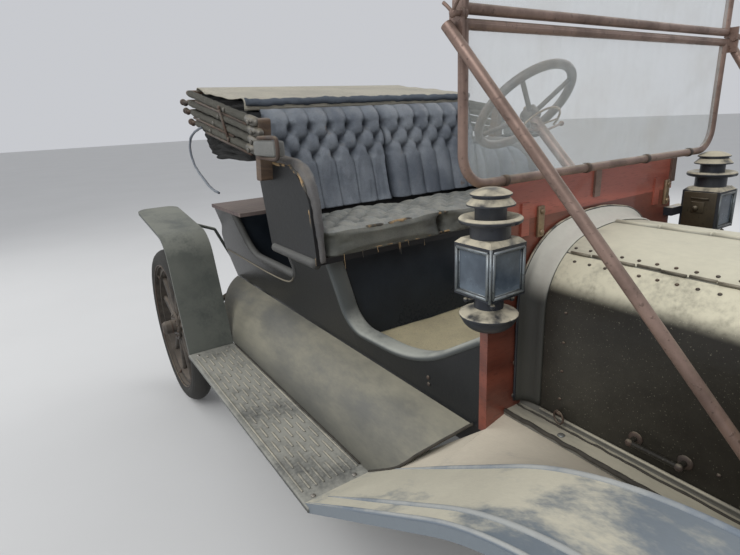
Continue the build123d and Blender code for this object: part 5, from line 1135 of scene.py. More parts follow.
# %% Rests, rear knobs and the loose strap
REST = ((-0.222, 0.560, 1.302), (-0.062, 0.600, 1.349))
REST_LOOP = (
    (-0.190, 0.592, 1.358), (-0.09, 0.592, 1.360), (-0.052, 0.592, 1.358), (-0.046, 0.592, 1.345),
    (-0.046, 0.592, 1.312), (-0.052, 0.592, 1.297), (-0.09, 0.592, 1.294), (-0.255, 0.575, 1.296),
)
REST_IRON = 0.0062
KNOBS = ((-1.008, 1.503, 0.030), (-0.985, 1.466, 0.024), (-0.930, 1.418, 0.020))    # x, z, length
STRAP = 0.0052
STRAP_LINE = (
    (-0.80, -0.590, 1.398), (-0.87, -0.600, 1.385), (-0.955, -0.604, 1.350), (-0.972, -0.606, 1.290),
    (-0.925, -0.606, 1.235), (-0.86, -0.604, 1.203), (-0.80, -0.604, 1.178), (-0.73, -0.602, 1.152),
    (-0.655, -0.600, 1.143),
)


def rest_irons():
    """The square iron loop round each rest pad, and the knobs at the bars' rear ends."""
    parts = [tube(REST_LOOP, REST_IRON, sides=4)]
    for x, z, length in KNOBS:
        tip = (x - length, BAR_Y + 0.014, z + 0.006)
        parts.append(rod((x + 0.03, BAR_Y + 0.01, z), tip, 0.006, sides=3))
        parts.append(studs([tip], (0.011, 0.014, 0.014)))
        parts.append(studs([(x - 0.002, BAR_Y + 0.012, z)], (0.004, 0.013, 0.013)))
    return merged(parts)


pair("rest_loops", rest_irons, old_iron)
rest_pads = pair("rest_pads", lambda: rounded_block(*REST, 0.007, 3), pad_cloth)
piece("loose_strap", tube(STRAP_LINE, STRAP, wobble=0.002), back_leather)

# %% [markdown]
# ## Edges, beads and the floor mat
#
# The body's sides are thick boards with rolled edges, worn pale where people climb in. The edge's line is
# read from the CAD piece itself: it is the row of mesh edges where the outer face meets a face that runs
# across the car. A section drawn in two numbers, across the board and out of its edge, is then drawn along
# that line. The extrude operator carries the section from ring to ring, so the bar stays closed.

# %% The edge of the body's side
def outer_rim(node):
    """The outline of the left side's outer face: points in order, over the top towards the front."""
    bm = bmesh.new()
    bm.from_mesh(node.data)
    bmesh.ops.remove_doubles(bm, verts=bm.verts, dist=1e-5)
    beside = {}
    for edge in bm.edges:
        across = sorted(face.normal.y for face in edge.link_faces)
        if edge.verts[0].co.y > 0 and len(across) == 2 and across[1] > 0.8 and abs(across[0]) < 0.3:
            for vert in edge.verts:
                beside.setdefault(vert, []).append(edge.other_vert(vert))
    line = [next(iter(beside))]
    while len(line) < len(beside):
        line.append(next(vert for vert in beside[line[-1]] if vert not in line[-2:-1]))
    points = [vert.co.copy() for vert in line]
    bm.free()
    turn = sum(start.x * end.z - end.x * start.z for start, end in zip(points, points[1:] + points[:1]))
    if turn > 0:
        points.reverse()
    rear = min(range(len(points)), key=lambda index: points[index].x + points[index].z)
    return points[rear:] + points[:rear]


def span(points, rear, front, floor):
    """The stretch of a rim between two X values, above a height."""
    return [point for point in points if rear <= point.x <= front and point.z > floor]


def refined(points, step=0.012):
    """Extra points along a line, so that a strip bends smoothly."""
    line = []
    for start, end in zip(points, points[1:]):
        count = max(1, int((end - start).length / step))
        line += [start.lerp(end, index / count) for index in range(count)]
    return line + [points[-1]]


RIM = outer_rim(nodes["body_sides"])
REAR_SCOOP = refined(span(RIM, -0.873, -0.3295, 0.80))
FRONT_SCOOP = refined(span(RIM, -0.0125, 0.586, 0.70))
SEAT_EDGE = refined([Vector((x, 0.531, 0.969)) for x in (-0.300, -0.20, -0.10, -0.02, 0.018)])
print("rim points:", len(RIM))


# %% Bars with a drawn section
def lofted(rings):
    """A closed bar through rings of points, all with the same number of points."""
    bm = bmesh.new()
    cap = bm.faces.new([bm.verts.new(point) for point in rings[0]])
    for index, ring in enumerate(rings[1:]):
        grown = bmesh.ops.extrude_face_region(bm, geom=[cap])["geom"]
        if index:
            bmesh.ops.delete(bm, geom=[cap], context="FACES_ONLY")
        cap = next(item for item in grown if isinstance(item, bmesh.types.BMFace))
        for vert, point in zip(cap.verts, ring):
            vert.co = point
    bmesh.ops.recalc_face_normals(bm, faces=bm.faces)
    return bm


def headings(line):
    """Each point of a line with the way from the point before it to the one after."""
    before, after = [line[0], *line], [*line[1:], line[-1]]
    return [(point, end - start) for point, start, end in zip(line, before, after)]


def strip(line, section, narrow=0.0):
    """A bar along a line in the side's plane, with a section of (inward, out of the edge) pairs. Narrow is
    the share of its width that it loses over the last third."""
    rings = []
    for index, (point, ahead) in enumerate(headings(line)):
        out = Vector((-ahead.z, 0, ahead.x)).normalized()
        size = 1.0 - narrow * clamp((index / (len(line) - 1) - 0.66) / 0.34)
        rings.append([point + Vector((0, -inward * size, 0)) + out * up for inward, up in section])
    return lofted(rings)


BROAD_EDGE = (                 # inward from the outer face, out of the edge
    (-0.002, -0.010), (-0.003, 0.000), (0.000, 0.006), (0.008, 0.009), (0.030, 0.010), (0.050, 0.008),
    (0.058, 0.003), (0.060, -0.004), (0.054, -0.008),
)
EDGE_ROLL = 0.0165


def circle_turns(steps, first=0.0):
    """Angles round a full circle, from a first share of a step."""
    return [2 * pi * (step + first) / steps for step in range(steps)]


def rolled_section(inward, up):
    """The round section of a rolled edge."""
    return [(inward + EDGE_ROLL * cos(turn), up + EDGE_ROLL * sin(turn)) for turn in circle_turns(14)]


edge_worn = rubbed_dust(
    "worn body edge", (0.40, 0.41, 0.36), (0.075, 0.085, 0.086), (1, 1, 1), 0.2, 0.55, (-0.1, 0.75),
)
roll_grey = rubbed_dust(
    "grey rolled edge", (0.115, 0.115, 0.105), (0.05, 0.05, 0.048), (1, 1, 1), 0.2, 0.6, (-0.2, 0.7),
)
bead_tan = rubbed_dust("tan bead", (0.23, 0.20, 0.145), (0.10, 0.09, 0.07), (1, 1, 1), 0.1, 0.5, (-0.5, 0.4))
pair("front_edges", lambda: strip(FRONT_SCOOP, BROAD_EDGE, 0.45), edge_worn)
pair("rear_edges", lambda: strip(REAR_SCOOP, rolled_section(0.012, 0.004)), roll_grey)
pair("seat_edges", lambda: strip(SEAT_EDGE, rolled_section(0.004, 0.002)), roll_grey)

# %% Beads and bolts on the sides
BEAD = 0.0042
BEAD_LINE = (                  # X and Z on the body's side
    (-1.205, 0.778), (-1.04, 0.777), (-0.74, 0.767), (-0.52, 0.771), (-0.44, 0.781), (-0.385, 0.803),
    (-0.352, 0.836),
)
SIDE_BOLTS = ((0.390, 0.687), (0.390, 0.665))
BESIDE_Y = 0.44                # where the bead runs on past the side's end


def struck(names, start, way):
    """Where a ray first meets any of some CAD pieces."""
    hits = [nodes[name].ray_cast(Vector(start), Vector(way)) for name in names.split()]
    places = [place for found, place, normal, index in hits if found]
    return min(places, key=lambda place: (place - Vector(start)).length) if places else None


def side_y(x, z):
    """The outer face of the left side at a place, or beside it."""
    place = struck("body_sides", (x, 0.60, z), (0, -1, 0))
    return place.y if place else BESIDE_Y


bead_line = [(x, side_y(x, z), z) for x, z in BEAD_LINE]
bolt_places = [(x, side_y(x, z) + 0.001, z) for x, z in SIDE_BOLTS]
pair("side_beads", lambda: tube(bead_line, BEAD, sides=2), bead_tan)
pair("side_bolts", lambda: studs(bolt_places, (0.0065, 0.004, 0.0065)), old_iron)

# %% Floor mat
MAT_REAR = -0.028
MAT_FRONT = 0.408
MAT_HALF = 0.350
MAT_Z = (0.6425, 0.6455)
MAT_CELLS = (44, 64, 1)
MAT_COCKLE = 0.004             # how far its edges stand up


def mat_sheet():
    """A stiff woven mat, cockled along its edges."""
    foot, top = MAT_Z
    bm = crate((MAT_REAR, -MAT_HALF, foot), (MAT_FRONT, MAT_HALF, top), MAT_CELLS)
    for vert in bm.verts:
        x, y, _ = vert.co
        rim = clamp((abs(y) - MAT_HALF + 0.10) / 0.10) + clamp((MAT_REAR + 0.07 - x) / 0.07)
        vert.co.z += MAT_COCKLE * rim * (1 + drift(x * 11, y * 9, 0)) + 0.0012 * drift(x * 6, y * 6, 5)
    return bm


mat_cloth = woven("floor mat", (0.74, 0.655, 0.42), (0.48, 0.42, 0.27), 150.0, 0.8)
floor_mat = piece("floor_mat", mat_sheet(), mat_cloth)

# %% [markdown]
# ## Ribbed running boards
#
# The boards are pressed steel with rows of raised ribs, staggered like bricks, and one unbroken rib along
# each side. The front end is plain and held by two rivets.

# %% Running-board ribs
BOARD_TOP = 0.414
BOARD_EDGE_Z = 0.405
BOARD_REAR = -0.829
BOARD_FRONT = 0.347
BOARD_SIDES = (0.572, 0.779)
BOARD_RIM = 0.0095
BOARD_RIVETS = ((0.319, 0.749, 0.415), (0.314, 0.612, 0.415), (-0.800, 0.749, 0.415), (-0.800, 0.612, 0.415))
RIB_COLUMNS = 7
RIB_FIRST_Y = 0.6085
RIB_PITCH_Y = 0.0225
RIB_LENGTH = 0.068
RIB_PITCH = 0.098
RIB_SPAN = (-0.770, 0.288)
RIB_WIDTH = 0.0085
RIB_HEIGHT = 0.0042


def rib(rear, front, y):
    """One long rib with rounded ends and back: a stretched half ball."""
    bm = bmesh.new()
    bmesh.ops.create_uvsphere(bm, u_segments=10, v_segments=6, radius=0.5)
    for vert in bm.verts:
        x, across, up = vert.co
        end = 0 if abs(x) <= 0.01 else (front - rear - RIB_WIDTH) / 2 * (1 if x > 0 else -1)
        vert.co.x = (front + rear) / 2 + x * RIB_WIDTH + end
        vert.co.y = y + across * RIB_WIDTH
        vert.co.z = BOARD_TOP + 2 * up * RIB_HEIGHT
    return bm


def board_ribs():
    """All the ribs of the left board."""
    rear, front = RIB_SPAN
    parts = [rib(rear, front, y) for y in (BOARD_SIDES[0] + 0.013, BOARD_SIDES[1] - 0.012)]
    for column in range(RIB_COLUMNS):
        start = rear - (column % 2) * RIB_PITCH / 2
        while start < front - 0.02:
            end = start + RIB_LENGTH
            if end > front - 0.07:
                end = front
            parts.append(rib(max(start, rear), end, RIB_FIRST_Y + column * RIB_PITCH_Y))
            start = end + RIB_PITCH - RIB_LENGTH
    return merged(parts)


def board_rim():
    """The rolled rim round a board's outer side and ends."""
    inner, outer = BOARD_SIDES
    corners = ((BOARD_REAR, inner), (BOARD_REAR, outer), (BOARD_FRONT, outer), (BOARD_FRONT, inner))
    return tube([(x, y, BOARD_EDGE_Z) for x, y in corners], BOARD_RIM, smooth=False)


pair("board_ribs", board_ribs, rib_finish)
pair("board_rivets", lambda: studs(BOARD_RIVETS, (0.0075, 0.0075, 0.0035)), bright_steel)
pair("board_rims", board_rim, board_finish)

# %% [markdown]
# ## Hood fittings and the cove at the dash
#
# The hood's panels hang on long pinned hinges with a row of rivets on each side. At the dash a sheet-metal
# cove sweeps up from the hood to a narrow flange. Its line is found by shooting rays at the hood from
# outside, in a fan, so it fits the CAD piece wherever the section is round or straight.

# %% The hood's section by rays
HOOD = "hood_tops hood_sides"
HOOD_REAR = 0.674
HOOD_FRONT = 1.230
HOOD_FOOT_Z = 0.684
FAN_Z = 0.90
OVER_ALL = 1.4                 # a height over the hood, from where rays go down


def hood_section(x):
    """Points round the hood's outside at one X, from the left foot over the top to the right foot."""
    aims = [((x, 0.6, HOOD_FOOT_Z + 0.018 * step), (0, -1, 0)) for step in range(12)]
    for angle in (radians(step) for step in range(2, 91, 4)):
        aims.append(((x, cos(angle), FAN_Z + sin(angle)), (0, -cos(angle), -sin(angle))))
    half = [place for place in (struck(HOOD, *aim) for aim in aims) if place]
    return half + [Vector((point.x, -point.y, point.z)) for point in reversed(half[:-1])]


def hood_z(x, y):
    """The height of the hood's outside at a place."""
    return struck(HOOD, (x, y, OVER_ALL), (0, 0, -1)).z


REAR_SECTION = hood_section(HOOD_REAR + 0.02)
print("section points:", len(REAR_SECTION))

# %% The cove
DASH_FACE = 0.6135
COVE = (                       # X ahead of the dash, out of the hood's skin
    (0.000, 0.030), (0.0035, 0.031), (0.007, 0.028), (0.012, 0.020), (0.020, 0.013), (0.032, 0.008),
    (0.046, 0.0055), (0.058, 0.0050), (0.061, 0.0035), (0.061, -0.002), (0.000, -0.002),
)
FLANGE_OUT = 0.031
FLANGE = 0.0034


def cove():
    """The concave sheet between dash and hood."""
    rings = []
    for point, ahead in headings(REAR_SECTION):
        out = Vector((0, ahead.z, -ahead.y)).normalized()
        rings.append([Vector((DASH_FACE + x, point.y, point.z)) + out * up for x, up in COVE])
    return lofted(rings)


def cove_flange():
    """The rounded edge of the cove's flange."""
    line = []
    for point in REAR_SECTION:
        way = Vector((0, point.y, max(point.z - FAN_Z, 0.0))).normalized()
        line.append(Vector((DASH_FACE + 0.003, point.y, point.z)) + way * FLANGE_OUT)
    return tube(line, FLANGE, smooth=False, sides=2)


cove_finish = rubbed_dust(
    "cove dust", (0.74, 0.72, 0.63), (0.034, 0.035, 0.030), (1, 1, 1), 0.10, 0.4, (0.10, 0.5),
)
piece("hood_cove", cove(), cove_finish)
piece("cove_edge", cove_flange(), lamp_black)

# %% Hinges, spine and rivets
HINGE_Y = 0.195
HINGE = 0.0034
HINGE_STEP = 0.052
HINGE_SHIFT = 0.0024           # how far the knuckles stand to and fro
RIVET_STEP = 0.038
RIVET_BESIDE = 0.015
SIDE_RIVET_Y = 0.2625
REAR_RIVETS = (0.730, 0.804, 0.878, 0.952)              # heights up the rear of the side panel
FRONT_RIVETS = ((1.078, 0.731), (1.200, 0.804), (1.200, 0.952))
SPINE = 0.0072
SPINE_COLLAR = 0.0082
SPINE_JOINTS = 5
SPINE_Z = hood_z(0.9, 0.012)


def hinge_line(y):
    """Hinge knuckles along the hood at one Y, set a little to and fro."""
    parts = []
    for index in range(int((HOOD_FRONT - HOOD_REAR - 0.03) / HINGE_STEP)):
        x = HOOD_REAR + 0.014 + index * HINGE_STEP
        shifted = y + (HINGE_SHIFT if index % 2 else -HINGE_SHIFT)
        top = hood_z(x + 0.01, y + 0.004) + 0.0008
        parts.append(rod((x, shifted, top), (x + HINGE_STEP - 0.004, shifted, top), HINGE))
    return merged(parts)


def hood_rivets():
    """Rivets on both sides of the left hinge, and on the left side panel."""
    places = []
    for row in (-1, 1):
        for index in range(int((HOOD_FRONT - HOOD_REAR) / RIVET_STEP)):
            x = HOOD_REAR + 0.014 + (index + 0.25 * (row + 1)) * RIVET_STEP
            if x < HOOD_FRONT - 0.01:
                y = HINGE_Y + row * RIVET_BESIDE
                places.append((x, y, hood_z(x, y)))
    places += [(HOOD_REAR + 0.056, SIDE_RIVET_Y, z) for z in REAR_RIVETS]
    places += [(x, SIDE_RIVET_Y, z) for x, z in FRONT_RIVETS]
    return studs(places, (0.0042, 0.0042, 0.0032))


def hood_spine():
    """The rounded tube that the hood's halves turn on, in short lengths with a collar between."""
    step = (HOOD_FRONT - HOOD_REAR) / SPINE_JOINTS
    ends = [HOOD_REAR + index * step for index in range(SPINE_JOINTS + 1)]
    bars = [(x + 0.001, x + step - 0.001, SPINE) for x in ends[:-1]]
    bars += [(x - 0.003, x + 0.003, SPINE_COLLAR) for x in ends[1:-1]]
    return merged([rod((rear, 0, SPINE_Z), (front, 0, SPINE_Z), size, sides=3) for rear, front, size in bars])


hinge_metal = tarnished("hinge metal", (0.24, 0.215, 0.165), (0.085, 0.078, 0.062), 0.5, 0.5, dust=0.5)
piece("hood_spine", hood_spine(), hood_top_finish)
piece("hood_hinges", merged([hinge_line(HINGE_Y), hinge_line(-HINGE_Y)]), hinge_metal)
pair("hood_rivets", hood_rivets, old_iron)

# %% Handle roses, rings and the sill
HANDLE_POSTS = (0.919, 1.019)
HANDLE_Z = 0.723
RING = (0.741, 0.279, 0.690)
RING_RADIUS = 0.0155
RING_WIRE = 0.0024
STAPLE = ((0.728, 0.266, 0.698), (0.733, 0.282, 0.702), (0.748, 0.282, 0.702))
SILL_LIP = ((HOOD_REAR + 0.004, 0.2665, 0.6785), (HOOD_FRONT, 0.2665, 0.6785))


def hoop(points, radius, sides=3):
    """A round bar along a closed row of points."""
    return tube([*points, points[0]], radius, smooth=False, sides=sides)


def sill_fittings():
    """Roses under and over the handle's posts, and a pull ring with its staple."""
    x, y, z = RING
    ring = [(x + RING_RADIUS * cos(turn), y + 0.004 * cos(turn), z + RING_RADIUS * sin(turn))
            for turn in circle_turns(20)]
    return merged([
        studs([(post, 0.263, HANDLE_Z) for post in HANDLE_POSTS], (0.016, 0.004, 0.016)),
        studs([(post, 0.288, HANDLE_Z) for post in HANDLE_POSTS], (0.0085, 0.0065, 0.0085)),
        hoop(ring, RING_WIRE),
        tube(STAPLE, 0.003, sides=2),
    ])


pair("hood_fittings", sill_fittings, old_iron)
pair("hood_lips", lambda: rod(*SILL_LIP, 0.0042, sides=3), ledge_finish)

# %% Packing and screws on the ledge
LEDGE_Z = 0.6628
LEDGE_SPAN = (0.612, 1.212)
LEDGE_STEPS = 40
LEDGE_PACKING = ((0.3225, 0.0055), (0.2745, 0.0030))    # Y, radius
LEDGE_SCREW = (0.766, 0.300, 0.663)


def ledge_cords():
    """Dark packing along both sides of the ledge, squeezed out unevenly."""
    rear, front = LEDGE_SPAN
    parts = []
    for y, radius in LEDGE_PACKING:
        line = [(rear + (front - rear) * step / LEDGE_STEPS, y + 0.0012 * drift(step * 3.1, y, 0), LEDGE_Z)
                for step in range(LEDGE_STEPS + 1)]
        parts.append(tube(line, radius, wobble=0.0022, seed=y, sides=2, steps=3))
    return merged(parts)


def dark_packing():
    """Old felt and tar."""
    finish = Finish("dark packing", rough=0.9)
    return finish.paint(finish.mix(finish.clouds(60.0, 4.0), (0.018, 0.016, 0.014), (0.075, 0.066, 0.05)))


packing_finish = dark_packing()
pair("ledge_packing", ledge_cords, packing_finish)
pair("ledge_screws", lambda: studs([LEDGE_SCREW], (0.009, 0.009, 0.003)), pale_frame)

# %% [markdown]
# ## Lamps
#
# Each side lamp has two glazed faces, in front and outside, held in bright frames. Its inner side is a
# small door with a turn-button. The headlamps get the mirror and the lens that CAD left out. A dish is half
# a section, drawn as a thin line and spun round the lamp's axis.

# %% Side-lamp glazing
LAMP = Vector((0.682, 0.463, 1.036))    # middle of the square body's foot
LAMP_HALF = 0.051
LAMP_POST = 0.111              # height of its outer corner
WINDOW_HALF = 0.042
WINDOW_Z = (1.044, 1.138)
WINDOW_BAR = 0.0035
WINDOW_LINE = 0.0016
RECESS = 0.005


def window_bars(middle, across, half, low, high, radius):
    """Four thin rods round an upright opening."""
    ends = ((half, low), (half, high), (-half, high), (-half, low))
    corners = [middle + across * side + Vector((0, 0, z)) for side, z in ends]
    return merged([rod(start, end, radius) for start, end in zip(corners, corners[1:] + corners[:1])])


def lamp_frames():
    """Bright frames round both windows, a finer line inside each, and the corner between them."""
    x, y, foot = LAMP
    low, high = WINDOW_Z
    parts = []
    for out, across in ((Vector((1, 0, 0)), Vector((0, 1, 0))), (Vector((0, 1, 0)), Vector((1, 0, 0)))):
        face = Vector((x, y, 0)) + out * LAMP_HALF
        outer, inner = face + out * 0.0005, face - out * 0.0026
        parts.append(window_bars(outer, across, WINDOW_HALF + 0.0015, low, high, WINDOW_BAR))
        parts.append(window_bars(inner, across, WINDOW_HALF - 0.0035, low + 0.004, high - 0.004, WINDOW_LINE))
    corner = (x + LAMP_HALF, y + LAMP_HALF)
    parts.append(rod((*corner, foot), (*corner, foot + LAMP_POST), 0.0028))
    return merged(parts)


def lamp_panes():
    """Both panes of the left lamp."""
    x, y, _ = LAMP
    reach = WINDOW_HALF - 0.0006
    inner, outer = LAMP_HALF - RECESS + 0.0004, LAMP_HALF - 0.0022
    low, high = WINDOW_Z[0] + 0.0006, WINDOW_Z[1] - 0.0006
    return merged([
        crate((x + inner, y - reach, low), (x + outer, y + reach, high), (1, 1, 1)),
        crate((x - reach, y + inner, low), (x + reach, y + outer, high), (1, 1, 1)),
    ])


def old_pane():
    """Blue-grey glass, cloudy in patches and towards its foot."""
    finish = Finish("side lamp glass", rough=0.12, IOR=1.45)
    cloudy = finish.between(finish.clouds(14.0, 5.0, 0.6), 0.35, 0.75)
    low = finish.between(finish.part(finish.place, 2), WINDOW_Z[0] + 0.030, WINDOW_Z[0])
    colour = finish.mix(cloudy * 0.6 + low * 0.5, (0.045, 0.060, 0.080), (0.13, 0.165, 0.20))
    return finish.paint(colour, cloudy * 0.25 + low * 0.2 + 0.10)


pair("side_panes", lamp_panes, old_pane(), smooth=False)
pair("side_frames", lamp_frames, pale_frame)

# %% Side-lamp fittings
THUMB_SCREWS = (38, 128, 218, 308)      # degrees round the font
LAMP_RING = 0.0585
LAMP_RINGS = ((0.158, 0.0066, 4), (-0.046, 0.0045, 3))      # height over the body's foot, thickness, sides


def lamp_fittings():
    """Thumb screws at the font, and rolled edges on the ring and the bowl."""
    x, y, foot = LAMP
    parts = []
    for turn in map(radians, THUMB_SCREWS):
        way = Vector((cos(turn), sin(turn), 0))
        start = Vector((x, y, foot - 0.014)) + way * 0.028
        parts.append(rod(start, start + way * 0.018, 0.0028))
        parts.append(studs([start + way * 0.020], (0.0055, 0.0055, 0.0065)))
    circle = [(x + LAMP_RING * cos(turn), y + LAMP_RING * sin(turn)) for turn in circle_turns(24)]
    for up, radius, sides in LAMP_RINGS:
        parts.append(hoop([(*point, foot + up) for point in circle], radius, sides))
    return merged(parts)


def lamp_doors():
    """The left lamp's inner side: a door, a plate on it, a catch bar and a knob."""
    x, y, foot = LAMP
    inner = y - LAMP_HALF
    return merged([
        rounded_block((x - 0.045, inner - 0.003, foot + 0.004), (x + 0.045, inner + 0.001, foot + 0.108)),
        rounded_block((x - 0.020, inner - 0.0075, foot + 0.048), (x + 0.016, inner - 0.002, foot + 0.080)),
        rod((x - 0.022, inner - 0.006, foot + 0.090), (x + 0.026, inner - 0.006, foot + 0.090), 0.003),
        studs([(x - 0.004, inner - 0.013, foot + 0.062)], (0.0075, 0.008, 0.0075)),
    ])


pair("side_doors", lamp_doors, lamp_olive)
pair("side_fittings", lamp_fittings, lamp_black)

# %% Headlamp mirror, lens and burner
HEADLAMP = (1.440, 0.400, 0.930)        # middle of its front rim
LENS_RADIUS = 0.1045
DISH_STEPS = 8
DISH_SIDES = 40


def dish(depth, thick, back):
    """A shallow bowl behind the left headlamp's rim. A negative depth makes it bulge forwards."""
    steps = [step / DISH_STEPS for step in range(DISH_STEPS + 1)]
    profile = [(-depth * (1 - share**2), LENS_RADIUS * share) for share in steps]
    profile += [(x - thick, out) for x, out in reversed(profile)]
    bm = bmesh.new()
    verts = [bm.verts.new((x, out, 0)) for x, out in profile]
    for start, end in zip(verts, verts[1:]):
        bm.edges.new((start, end))
    bmesh.ops.spin(bm, geom=bm.verts[:] + bm.edges[:], axis=(1, 0, 0), cent=(0, 0, 0), angle=2 * pi,
                   steps=DISH_SIDES, use_merge=True)
    bmesh.ops.remove_doubles(bm, verts=bm.verts, dist=1e-6)
    bmesh.ops.recalc_face_normals(bm, faces=bm.faces)
    x, y, z = HEADLAMP
    return placed(bm, (x - back, y, z))


def burner():
    """The small gas burner in front of the left reflector."""
    x, y, z = HEADLAMP
    x -= 0.010
    return merged([
        rod((x, y, z - 0.045), (x, y, z + 0.004), 0.005, sides=3),
        studs([(x, y, z + 0.006)], (0.007, 0.012, 0.006)),
    ])


mirror_metal = tarnished("reflector", (0.55, 0.53, 0.48), (0.36, 0.34, 0.30), 0.16, 0.95, dust=0.1)
pair("reflectors", lambda: dish(0.0045, 0.002, 0.0065), mirror_metal)
pair("headlamp_lenses", lambda: dish(-0.010, 0.0025, 0.0018), lamp_glass)
pair("burners", burner, pale_frame)

# %% [markdown]
# ## Wheels
#
# A wooden wheel of this kind is held by a ring of bolts through its hub flanges, and the tyre by clamps at
# every other spoke. One function makes a wheel's fittings round its own middle, and a loop puts them on all
# four.

# %% Wheel fittings
WHEELS = {                     # body: X, Y of the wheel's middle
    "front_right_wheel": (1.270, -0.714), "front_left_wheel": (1.270, 0.714),
    "rear_right_wheel": (-1.270, -0.714), "rear_left_wheel": (-1.270, 0.714),
}
WHEEL_Z = 0.406
HUB_BOLTS = 12
HUB_BOLT_CIRCLE = 0.057
HUB_FACE = 0.028               # from the wheel's middle outwards
CAP_RINGS = ((0.046, 0.0345), (0.087, 0.021))   # outwards, radius
RIM_BOLTS = 6
RIM_BOLT_CIRCLE = 0.306
FELLOE_FACE = 0.022
VALVE = (0.312, 0.262)         # outer and inner end, from the wheel's middle
SECTION = (0.050, 0.356)       # the tyre's: its radius, and the radius of its middle line
LIP = (0.3285, 0.0042)         # radius of the ring, and of its bar
WALL_LINES = ((0.352, 0.0013), (0.372, 0.0011), (0.384, 0.0011))


def round_the_hub(circle, count, first=0.0):
    """X and Z of places on a circle that faces outwards."""
    return [(circle * cos(turn), circle * sin(turn)) for turn in circle_turns(count, first)]


def wheel_fittings():
    """Hub bolts, rings on the cap, rim clamps and the tyre's valve, with the outside towards +Y."""
    bolts = [(x, HUB_FACE, z) for x, z in round_the_hub(HUB_BOLT_CIRCLE, HUB_BOLTS, 0.5)]
    parts = [studs(bolts, (0.0062, 0.0042, 0.0062))]
    for out, circle in CAP_RINGS:
        parts.append(hoop([(x, out, z) for x, z in round_the_hub(circle, 24)], 0.0022, 2))
    for x, z in round_the_hub(RIM_BOLT_CIRCLE, RIM_BOLTS, 0.25):
        parts.append(studs([(x, FELLOE_FACE + 0.002, z)], (0.010, 0.006, 0.010)))
        parts.append(rod((x, FELLOE_FACE, z), (x * 1.045, FELLOE_FACE + 0.008, z * 1.045), 0.0055))
    ends = [round_the_hub(circle, RIM_BOLTS, 0.4)[0] for circle in VALVE]
    parts.append(rod(*((x, 0, z) for x, z in ends), 0.0042))
    return merged(parts)


def wall_ring(circle, radius):
    """A ring on the tyre's outer wall."""
    section, middle = SECTION
    out = (section**2 - (circle - middle)**2) ** 0.5
    return hoop([(x, out - 0.0003, z) for x, z in round_the_hub(circle, 72)], radius, 2)


def rim_lip():
    """The clinched steel lip that holds the tyre."""
    return wall_ring(*LIP)


def tyre_lines():
    """Fine moulded rings on the tyre's wall."""
    return merged([wall_ring(*line) for line in WALL_LINES])


WHEEL_PIECES = {               # what it is: its maker, finish and slot
    "fittings": (wheel_fittings, old_iron, "engine_iron"),
    "lip": (rim_lip, old_iron, "engine_iron"),
    "tyre_lines": (tyre_lines, rubber, "tyre_rubber"),
}
for body, (x, y) in WHEELS.items():
    for kind, (make, finish, slot) in WHEEL_PIECES.items():
        bm = make() if y > 0 else mirror_y(make())
        piece(f"{body}_{kind}", placed(bm, (x, y, WHEEL_Z)), finish, body=body)

# %% [markdown]
# ## Fender beads, seam packing, dash straps and controls
#
# The front fenders are stiffened by a raised bead along each side of the crown, where the dust has been
# rubbed off to the blue-grey below. Dark cord packs the seams of the splash apron. Two short brass straps
# hold the dash's boards together. The windshield's hinges get their wing nuts, the steering wheel its nut
# and the quadrant for the two hand levers.

# %% Fender beads
FENDER_BEADS = (               # Y, first X, last X, half width
    (0.553, 0.42, 1.63, 0.0075), (0.733, 0.38, 1.63, 0.0070), (0.776, 0.345, 1.648, 0.0050),
)
OVER_FENDER = 2.0              # a height over the fenders, from where rays go down
BEAD_STEPS = 40
BEAD_RISE = 8                  # steps over which its rear end rises out of the sheet


def fender_beads():
    """Beads along the left fender's crown, sunk in at their rear ends."""
    parts = []
    for y, rear, front, half in FENDER_BEADS:
        line = []
        for step in range(BEAD_STEPS + 1):
            x = rear + (front - rear) * step / BEAD_STEPS
            top = struck("front_fenders", (x, y, OVER_FENDER), (0, 0, -1))
            if top:
                line.append((top.x, y, top.z - 0.35 * half, 0.4 + 0.6 * clamp(step / BEAD_RISE)))
        parts.append(tube(line, half, steps=2))
    return merged(parts)


pair("fender_beads", fender_beads, bead_blue)

# %% Packing in the seams
APRON_SEAM = (                 # the splash apron's front edge, from the running board up to the dash
    (0.331, 0.571, 0.417), (0.386, 0.564, 0.452), (0.441, 0.551, 0.486), (0.471, 0.533, 0.520),
    (0.496, 0.511, 0.549), (0.518, 0.487, 0.573), (0.537, 0.459, 0.594), (0.552, 0.430, 0.610),
    (0.562, 0.402, 0.622), (0.567, 0.390, 0.626),
)
BOARD_SEAM = [(BOARD_REAR + 0.02 + 0.0475 * step, 0.5745, 0.4160) for step in range(24)]
END_SEAM = [(BOARD_FRONT + 0.012, y, 0.4165) for y in (0.585, 0.66, 0.775)]


def seam_packing():
    """Dark cord where the left apron meets the fender and the running board."""
    return merged([
        tube(APRON_SEAM, 0.0042, wobble=0.001, sides=2),
        tube(BOARD_SEAM, 0.0036, wobble=0.001, sides=2, steps=2),
        tube(END_SEAM, 0.0030, sides=2),
    ])


pair("seam_packing", seam_packing, packing_finish)

# %% Dash straps and bolts
DASH_FRONT = 0.610
TOP_BOARD_FRONT = 0.615
STRAP_HALF = 0.011
STRAPS = ((-0.220, 1.105, 1.181), (0.350, 1.110, 1.183))     # Y, foot and head
DASH_BOLTS = ((-0.289, 0.788), (-0.290, 0.694), (-0.288, 1.090), (0.289, 0.788), (0.290, 0.694))


